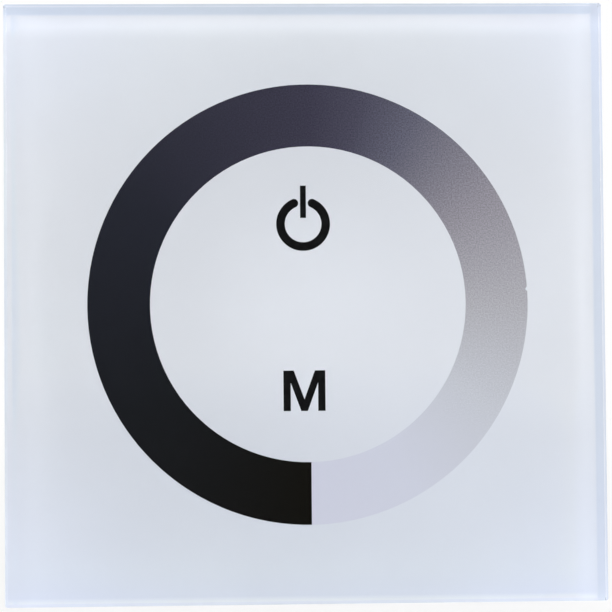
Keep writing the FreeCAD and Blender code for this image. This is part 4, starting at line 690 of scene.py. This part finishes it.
diagonal = PAD_CIRCLE * math.sqrt(0.75)
across_half = PAD_CIRCLE / 2
right_side = [
    [(4.445, UP_LEADS), (4.445, -0.6), (5.045, 0), (PAD_CIRCLE, 0)],
    [(3.175, UP_LEADS), (3.175, 0.6), (14.825, across_half), (diagonal, across_half)],
    [(1.905, UP_LEADS), (1.905, 1.0), (across_half, 11.345), (across_half, diagonal)],
    [(4.445, DOWN_LEADS), (4.445, -7.4), (9.295, -across_half), (diagonal, -across_half)],
    [(3.175, DOWN_LEADS), (3.175, -9.0), (4.2, -10.025), (4.2, -13.2), (across_half, -diagonal)]]
middle = [
    [(0.635, UP_LEADS), (0.635, 22.0), (0.0, 22.635), (0.0, PAD_CIRCLE)],
    [(-0.635, UP_LEADS), (-0.635, 10.0), (-0.25, 10.385), (-0.25, 11.44)],
    [(-0.635, DOWN_LEADS), (-0.635, -10.5), (-0.25, -10.885), (-0.25, -12.64)],
    [(1.905, DOWN_LEADS), (1.905, -9.0), (1.4, -9.505), (1.4, -22.0), (0.0, -23.4),
     (0.0, -PAD_CIRCLE)],
    [(0.635, DOWN_LEADS), (0.635, -11.6)],
    [(-1.905, DOWN_LEADS), (-1.905, -9.5), (-2.2, -9.795), (-2.2, -11.6)]]
socket_x = LEAD_PITCH * np.array([-5, -3, -1, 1, 3, 5])
stubs = [[(x, 15.6), (x, 13.4)] for x in socket_x]
sides = mirrored(right_side)
place_piece("touch_board_traces",
            closed_mesh("touch_board_traces", bands(
                sides + middle + stubs, 0.3 * MM, BOARD_BACK, COPPER)),
            solder_mask("white_mask_over_copper", "#C6C6BC", "#CFCEC4", False), "front_panel",
            "white_circuit_board")

# %% [markdown]
# The power board's front carries thin traces for signals, from the microcontroller up to the
# pins and down to the chip resistors, and broad ones for current. The broad areas under the two
# transistors lead their heat away. White lines of epoxy ink, printed last, frame the parts.

# %% Traces on the power board
BOARD_FRONT, BOARD_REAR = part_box("power_board")[0].y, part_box("power_board")[1].y
INK = 0.05 * MM
UPPER_ROW, LOWER_ROW = 3.6, -6.6


def frame_line(x, z, half_x, half_z):
    """A closed rectangle that starts in the middle of its lower side."""
    return [(x, z - half_z), (x + half_x, z - half_z), (x + half_x, z + half_z),
            (x - half_x, z + half_z), (x - half_x, z - half_z), (x, z - half_z)]


signals = mirrored([
    [(5.715, UPPER_ROW), (5.715, 13.5), (6.35, 14.135), (6.35, 16.6)],
    [(4.445, UPPER_ROW), (4.445, 12.9), (3.81, 13.535), (3.81, 16.6)],
    [(3.175, UPPER_ROW), (3.175, 10.1), (1.27, 12.005), (1.27, 16.6)],
    [(1.905, UPPER_ROW), (1.905, 5.2)],
    [(0.635, UPPER_ROW), (0.635, 6.8)],
    [(5.715, LOWER_ROW), (5.715, -7.4), (8.85, -10.535), (8.85, -10.9)],
    [(4.445, LOWER_ROW), (4.445, -7.6), (6.05, -9.205), (6.05, -10.9)],
    [(3.175, LOWER_ROW), (3.175, -8.0), (3.25, -8.075), (3.25, -10.9)],
    [(1.905, LOWER_ROW), (1.905, -8.0), (2.35, -8.445), (2.35, -10.9)],
    [(0.635, LOWER_ROW), (0.635, -8.0), (0.45, -8.185), (0.45, -10.9)],
    [(10.75, -11.2), (11.0, -10.95), (11.7, -10.95)]])
supplies = [
    [(-12.595, 6.9), (-12.595, 10.4), (-12.75, 10.555), (-12.75, 13.0)],
    [(-13.865, 6.9), (-13.865, 7.6), (-15.5, 9.235), (-15.5, 14.6), (-14.3, 15.8), (-10.45, 15.8),
     (-9.25, 14.6), (-9.25, 13.0)],
    [(11.6, 3.8), (9.4, 3.8), (8.6, 4.6), (8.6, 9.35), (11.25, 12.0)],
    [(17.4, 3.8), (18.9, 5.3), (18.9, 9.5), (16.4, 12.0), (13.75, 12.0)],
    [(-15.135, 0.7), (-15.135, -0.5)]] + mirrored([[(16.3, -11.0), (16.3, -13.6)]])
rail = [[(-11.54, -13.8), (-11.54, -17.6), (11.54, -17.6), (11.54, -13.8)]]
spreaders = mirrored([[(14.0, 0.2), (14.0, -9.4)]])
power_traces = [grid for lines, width in ((signals, 0.3), (supplies, 0.9), (rail, 2.4),
                                          (spreaders, 7.6))
                for grid in bands(lines, width * MM, BOARD_FRONT, -COPPER)]
place_piece("power_board_traces", closed_mesh("power_board_traces", power_traces),
            solder_mask("green_mask_over_copper", "#1D5F3A", "#246A43", False), "base",
            "green_circuit_board")
frames = [frame_line(0, 17.5, 8.2, 1.8), frame_line(14.5, 3.8, 4.3, 1.7),
          [(-17.5, 2.0), (-17.5, 5.6)], [(-11.5, 2.0), (-11.5, 5.6)]]
frames += mirrored([frame_line(14, -5.0, 3.6, 3.3), [(6.9, -5.4), (6.9, 2.4)]])
legend_ink = uneven("white_epoxy_legend_ink", 0.15 * MM, [(0.3, "#D9DAD4"), (0.6, "#EBEBE7")],
                    {"Roughness": 0.55, "IOR": 1.5}, {"Detail": 3.0})
place_piece("power_board_print", closed_mesh("power_board_print", bands(
    frames, 0.18 * MM, BOARD_FRONT, -INK)), legend_ink, "base", "green_circuit_board")

# %% [markdown]
# ## Vias and solder
#
# Solder wets metal and pulls itself into a smooth heap: a low fillet round the foot of a lead,
# or a steep little cone round a wire through the board. All of them are one shape, a
# superellipse |x/a|^n + |z/b|^n = 1 that shrinks while it rises. A via is a flat ring of plated
# copper with a dimple in its middle.

# %% Heaps of solder
rise = np.linspace(0, 1, 7)
FILLET = np.stack([1 - 0.9 * rise, 1 - (1 - rise) ** 2.2], axis=-1)
CONE = np.stack([0.4 + 0.6 * (1 - rise) ** 2.5, rise], axis=-1)
RING = np.array([(1, 0), (0.96, 1), (0.5, 1.2), (0.4, 0.1)])
AROUND = 20
RIM_ANGLE = math.radians(50)
VIA_RADIUS = 0.42


def heaps(level, profile, corners, *kinds):
    """Heaps on the board's face at that level. A kind has places (x, z), half sizes in x and z,
    and a height, negative towards the room, in mm: the superellipse with n = corners times the
    profile's first column, raised by its second column times the height."""
    turn = np.linspace(0, 2 * math.pi, AROUND, endpoint=False)
    wave = np.stack([np.cos(turn), np.sin(turn)])
    outline = np.sign(wave) * np.abs(wave) ** (2 / corners)
    share, lift = profile.T
    grids = []
    for places, half_x, half_z, height in kinds:
        x = half_x * outline[0][:, None] * share
        z = half_z * outline[1][:, None] * share
        y = np.broadcast_to(level / MM + height * lift, x.shape)
        shape = np.stack([x, y, z], axis=-1)
        grids += [(shape + np.array([place_x, 0, place_z])) * MM for place_x, place_z in places]
    return grids


def grid_of(row, *levels):
    """Places at each x of the row and each of the levels z."""
    return [(x, z) for x in row for z in levels]


def lead_row(x, count):
    """The x of a chip's leads, about its middle."""
    return x + LEAD_PITCH * (np.arange(count) - (count - 1) / 2)


CHIP_PITCH, CHIP_END = 2.8, 0.95
resistor_ends, capacitor_ends = [
    (CHIP_PITCH * (np.arange(count) - (count - 1) / 2)[:, None] + [-CHIP_END, CHIP_END]).ravel()
    for count in (8, 6)]
POLES = (-11.54, -6.46, 6.46, 11.54)
touch_solder = heaps(
    BOARD_BACK, FILLET, 3, (grid_of(lead_row(0, 8), -6.85, -1.15), 0.33, 0.6, 0.15),
    (grid_of(capacitor_ends, -12.0), 0.45, 0.72, 0.3),
    (grid_of(socket_x, 15.1, 19.9), 0.5, 0.7, 0.25))
power_solder = heaps(
    BOARD_FRONT, FILLET, 3, (grid_of(lead_row(-14.5, 4), 0.95, 6.65), 0.33, 0.6, -0.15),
    (grid_of(lead_row(0, 10), -6.15, 3.15), 0.33, 0.6, -0.15),
    (grid_of(resistor_ends, -11.2), 0.45, 0.72, -0.3),
    (grid_of((-16.3, -11.7, 11.7, 16.3), -10.9), 0.75, 1.0, -0.35))
power_solder += heaps(BOARD_FRONT, FILLET, 4, (grid_of((11.6, 17.4), 3.8), 0.75, 1.3, -0.22))
power_solder += heaps(BOARD_FRONT, FILLET, 5, (grid_of((-14, 14), -1.2), 3.1, 1.3, -0.35))
power_solder += heaps(
    BOARD_FRONT, CONE, 2, (grid_of((-12.75, -9.25), 13.0), 0.9, 0.9, -0.9),
    (grid_of((11.25, 13.75), 12.0), 0.9, 0.9, -0.9), (grid_of(POLES, -13.8), 1.5, 1.3, -0.9))
power_solder += heaps(BOARD_REAR, CONE, 2, (grid_of(socket_x, 17.5), 0.9, 0.9, 0.9))
touch_vias, power_vias = [
    heaps(level, RING, 2, ([line[-1] for line in lines], VIA_RADIUS, VIA_RADIUS, height))
    for level, lines, height in ((BOARD_BACK, sides + middle[:4] + stubs, 0.04),
                                 (BOARD_FRONT, mirrored(signals[3:5]) + supplies[4:], -0.05))]
solder = sheet_metal("tin_silver_solder", "#A8A9AB", "#C8C9CB", 0.14, 0.3, 0.9 * MM)
plated_copper = sheet_metal("gold_flashed_copper", "#B7A06A", "#CDB985", 0.2, 0.34, 0.7 * MM)
for name, grids, metal, body, slot in (
        ("touch_board_solder", touch_solder, solder, "front_panel", "tinned_leads"),
        ("touch_board_vias", touch_vias, plated_copper, "front_panel", "bare_copper"),
        ("power_board_vias", power_vias, plated_copper, "base", "bare_copper"),
        ("power_board_solder", power_solder, solder, "base", "tinned_leads")):
    mesh = closed_mesh(name, grids)
    shade_smooth(mesh, RIM_ANGLE)
    place_piece(name, mesh, metal, body, slot)

# %% [markdown]
# ## Electronic parts
#
# An electrolytic capacitor is a drawn aluminium can in a shrunk plastic sleeve. The sleeve
# curls over the top's rim, leaves the scored metal top bare, and has a pale stripe along the
# negative side. All of it follows the can's axis, which is read from the node's box.

# %% Capacitors
CURL, TOP_DEPTH = 0.8 * MM, 0.5 * MM
STRIPE_HALF = math.radians(20)
SCORE_HALF = 0.12 * MM


def sleeved_can(name, node, sleeve, stripe):
    """A dark sleeve with one pale stripe, and a bare top with a scored cross, about the can's
    axis: the top is bare within the radius less the sleeve's curl."""
    low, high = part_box(node)
    radius = (high.x - low.x) / 2
    material, tree, place = new_tree(name)
    centred = add(tree, "Mapping", inputs={
        "Vector": place, "Location": (-(low.x + high.x) / 2, 0, -(low.z + high.z) / 2),
        "Scale": (1, 0, 1)})
    axes = add(tree, "SeparateXYZ", inputs={"Vector": centred})
    height = add(tree, "SeparateXYZ", inputs={"Vector": place})
    distance = add(tree, "VectorMath", "LENGTH", (centred,))
    within = add(tree, "Math", "LESS_THAN", (distance.outputs["Value"], radius - CURL))
    above = add(tree, "Math", "GREATER_THAN", (height.outputs["Y"], high.y - TOP_DEPTH))
    bare = add(tree, "Math", "MULTIPLY", (within, above))
    angle = add(tree, "Math", "ARCTAN2", (axes.outputs["X"], axes.outputs["Z"]))
    off = add(tree, "Math", "ABSOLUTE", (angle,))
    striped = add(tree, "Math", "LESS_THAN", (off, STRIPE_HALF))
    skin = add(tree, "Mix", RGBA, {0: striped, 6: colour(sleeve), 7: colour(stripe)})
    score_x, score_z = [add(tree, "Math", "COMPARE", (axes.outputs[axis], 0.0, SCORE_HALF))
                        for axis in "XZ"]
    score = add(tree, "Math", "MAXIMUM", (score_x, score_z))
    metal = add(tree, "Mix", RGBA, {0: score, 6: colour("#C6C7CA"), 7: colour("#77787B")})
    tone = add(tree, "Mix", RGBA, {0: bare, 6: skin.outputs[2], 7: metal.outputs[2]})
    wrinkles = add(tree, "TexNoise", inputs={
        "Vector": place, "Scale": 1 / (1.5 * MM), "Detail": 2.0})
    relief = add(tree, "Bump", inputs={"Height": wrinkles, "Strength": 0.2, "Distance": 0.05 * MM})
    shader = add(tree, "BsdfPrincipled", inputs={
        "Base Color": tone.outputs[2], "Metallic": bare, "Roughness": 0.3, "Normal": relief})
    add(tree, "OutputMaterial", inputs={"Surface": shader})
    return material


dress(sleeved_can("sleeved_input_can", "input_capacitor", "#15233F", "#C9CDD3"),
      "input_capacitor")
dress(sleeved_can("sleeved_smoothing_can", "smoothing_capacitor", "#1A1A1D", "#B9A24B"),
      "smoothing_capacitor")

# %% [markdown]
# The small parts are of a few grainy materials: black epoxy mould compound with quartz in it,
# black rubber bungs, dark pressed ferrite, white alumina and tan barium titanate ceramic. They
# share one recipe, in which a fine grain changes tone, shine and relief, and differ in their
# colours, grain size and gloss.

# %% Grainy materials
def grainy(name, dark, light, grain, gloss, depth):
    """A dull solid with grain: tones from dark to light, roughness near gloss, relief of depth."""
    return uneven(name, grain, [(0.35, dark), (0.65, light)], {"IOR": 1.55},
                  {"Detail": 4.0, "Roughness": 0.65}, dulled=(0.3, 0.7, gloss - 0.08, gloss + 0.08),
                  relief=(0.4, depth))


dress(grainy("epoxy_mould_compound", "#19191A", "#262628", 0.2 * MM, 0.5, 0.01 * MM),
      "touch_controller", "regulator", "microcontroller", "dimmer_transistors", "polarity_diode")
dress(grainy("moulded_rubber", "#141414", "#1D1C1B", 0.3 * MM, 0.7, 0.01 * MM), "capacitor_bungs")
dress(grainy("pressed_ferrite", "#2A2A2D", "#3D3D40", 0.25 * MM, 0.6, 0.02 * MM), "inductor")
dress(grainy("fired_alumina", "#DEDBD2", "#EAE8E1", 0.4 * MM, 0.35, 0.005 * MM),
      "fuse", "chip_resistors")
dress(grainy("barium_titanate_ceramic", "#94774F", "#AC8E63", 0.3 * MM, 0.45, 0.005 * MM),
      "touch_capacitors")

# %% [markdown]
# Two tapes hold the panel together: an acrylic foam tape with fine closed cells, and a clear
# film of adhesive between glass and board, which is soft, slightly milky and a little wavy.

# %% Tapes
foam = uneven("closed_cell_foam", 0.3 * MM, [(0.0, "#CFCFCD"), (0.6, "#E4E4E2")],
              {"Roughness": 0.85}, relief=(0.7, 0.05 * MM), texture="TexVoronoi")
dress(foam, "frame_tape")

MILKY = colour("#EDEDE8")
clear_adhesive, tree, place = new_tree("clear_acrylic_adhesive")
waves = add(tree, "TexNoise", inputs={"Vector": place, "Scale": 1 / (2 * MM)})
haze = add(tree, "MapRange", inputs={"Value": waves, "To Min": 0.25, "To Max": 0.45})
relief = add(tree, "Bump", inputs={"Height": waves, "Strength": 0.2, "Distance": 0.05 * MM})
shader = add(tree, "BsdfPrincipled", inputs={
    "Base Color": MILKY, "Roughness": haze, "IOR": 1.47, "Transmission Weight": 0.8,
    "Normal": relief})
add(tree, "OutputMaterial", inputs={"Surface": open_to_lamps(tree, shader, MILKY)})
dress(clear_adhesive, "sensor_tape")

# %% [markdown]
# ## Studio
#
# A photographer lights glossy glass from the sides, out of the mirror direction, and stands a
# dark card behind the lens, or the white room would lie over the print like milk. So two wide
# soft boxes stand half left and half right, and a third lights the back. The room is white to
# the camera, straight or through glass. Mirrored rays see it too, but with a dark card round
# the lens and a duller ceiling. Everything that a surface has scattered gets the room's plain
# level, which lights the object. The floor is pale matt paper that keeps the object's shadow;
# with distance it turns into the white of the room, so no horizon shows. From below it is clear,
# so the object's underside can be looked at.

# %% Floor and room
WHITE = colour("#FFFFFF")
FLOOR_HALF = 2.5
FLOOR_WHITE = 0.82
WHITENS_FROM, WHITENS_TO = 0.1, 0.7
CARD_LEVEL = 0.04
CARD_REACH = (-22 * MM, -11.5 * MM)
CARD_EDGE = (-0.93, -0.8)
CEILING_LEVEL = 0.45
ROOM_LEVEL = 0.44
floor_mesh = bpy.data.meshes.new("floor")
reach = (-FLOOR_HALF, 0.0, FLOOR_HALF)
floor_mesh.from_pydata([(x, y, GLASS_LOW.z) for y in reach for x in reach], [],
                       [(i, i + 1, i + 4, i + 3) for i in (0, 1, 3, 4)])
floor = bpy.data.objects.new("floor", floor_mesh)
bpy.context.scene.collection.objects.link(floor)


def ray_kinds(tree):
    """Two factors: rays that the camera sends straight or through glass, and mirrored rays."""
    rays = add(tree, "LightPath")
    unscattered = add(tree, "Math", "COMPARE", (rays.outputs["Diffuse Depth"], 0.0, 0.5))
    through = add(tree, "Math", "MULTIPLY", (rays.outputs["Is Transmission Ray"], unscattered))
    seen = add(tree, "Math", "MAXIMUM", (rays.outputs["Is Camera Ray"], through))
    in_mirror = add(tree, "Math", "SUBTRACT", (
        rays.outputs["Is Glossy Ray"], rays.outputs["Is Transmission Ray"]))
    return seen, in_mirror


pale_floor, tree, place = new_tree("pale_studio_floor")
seen, in_mirror = ray_kinds(tree)
far = add(tree, "VectorMath", "LENGTH", (place,))
brightness = add(tree, "MapRange", SMOOTH_STEP, {
    "Value": far.outputs["Value"], "From Min": WHITENS_FROM, "From Max": WHITENS_TO,
    "To Min": FLOOR_WHITE, "To Max": 1.0})
share = add(tree, "Math", "MULTIPLY", (seen, brightness))
matt = add(tree, "BsdfDiffuse", inputs={"Color": colour("#ECECEC")})
white = add(tree, "Emission", inputs={"Color": WHITE, "Strength": 1.0})
lit = add(tree, "MixShader", inputs=(share, matt, white))
axes = add(tree, "SeparateXYZ", inputs={"Vector": place})
covered = add(tree, "MapRange", SMOOTH_STEP, {
    "Value": axes.outputs["Y"], "From Min": CARD_REACH[0], "From Max": CARD_REACH[1],
    "To Min": CARD_LEVEL, "To Max": 1.0})
mirror = add(tree, "Emission", inputs={"Color": WHITE, "Strength": covered})
top_side = add(tree, "MixShader", inputs=(in_mirror, lit, mirror))
side = add(tree, "NewGeometry")
clear = add(tree, "BsdfTransparent")
both = add(tree, "MixShader", inputs=(side.outputs["Backfacing"], top_side, clear))
add(tree, "OutputMaterial", inputs={"Surface": both})
floor_mesh.materials.append(pale_floor)

world = bpy.data.worlds.new("studio")
bpy.context.scene.world = world
world.use_nodes = True
tree = world.node_tree
tree.nodes.clear()
seen, in_mirror = ray_kinds(tree)
direction = add(tree, "TexCoord")
axes = add(tree, "SeparateXYZ", inputs={"Vector": direction.outputs["Generated"]})
card = add(tree, "MapRange", SMOOTH_STEP, {
    "Value": axes.outputs["Y"], "From Min": CARD_EDGE[0], "From Max": CARD_EDGE[1],
    "To Min": CARD_LEVEL, "To Max": 1.0})
ceiling = add(tree, "MapRange", inputs={
    "Value": axes.outputs["Z"], "From Min": 0.1, "From Max": 1.0, "To Min": 1.0,
    "To Max": CEILING_LEVEL})
mirror_level = add(tree, "Math", "MULTIPLY", (card, ceiling))
level = add(tree, "Mix", inputs={0: in_mirror, 2: ROOM_LEVEL, 3: mirror_level})
strength = add(tree, "Mix", inputs={0: seen, 2: level, 3: 1.0})
room = add(tree, "Background", inputs={"Color": WHITE, "Strength": strength})
add(tree, "OutputWorld", inputs={"Surface": room})
print("floor at", round(GLASS_LOW.z / MM, 1), "mm")

# %% [markdown]
# A soft box is a lamp behind stretched white cloth: an even square of light, 0.4 m wide, whose
# soft edges give soft shadows. Each one is placed by its direction as seen from the object.

# %% Lamps
def soft_box(name, azimuth, elevation, distance, size, power):
    """A square area lamp that faces the object: azimuth 0 is on the camera's side, 90 right."""
    lamp = bpy.data.lights.new(name, "AREA")
    lamp.shape = "SQUARE"
    lamp.size = size
    lamp.energy = power
    side, up = math.radians(azimuth), math.radians(elevation)
    away = Vector((math.sin(side) * math.cos(up), -math.cos(side) * math.cos(up), math.sin(up)))
    holder = bpy.data.objects.new(name, lamp)
    holder.location = away * distance
    holder.rotation_mode = "QUATERNION"
    holder.rotation_quaternion = (-away).to_track_quat("-Z", "Y")
    bpy.context.scene.collection.objects.link(holder)


soft_box("soft_box_left", -50, 22, 0.7, 0.4, 1.95)
soft_box("soft_box_right", 50, 22, 0.7, 0.4, 1.95)
soft_box("soft_box_back", 150, 40, 0.8, 0.4, 2.1)
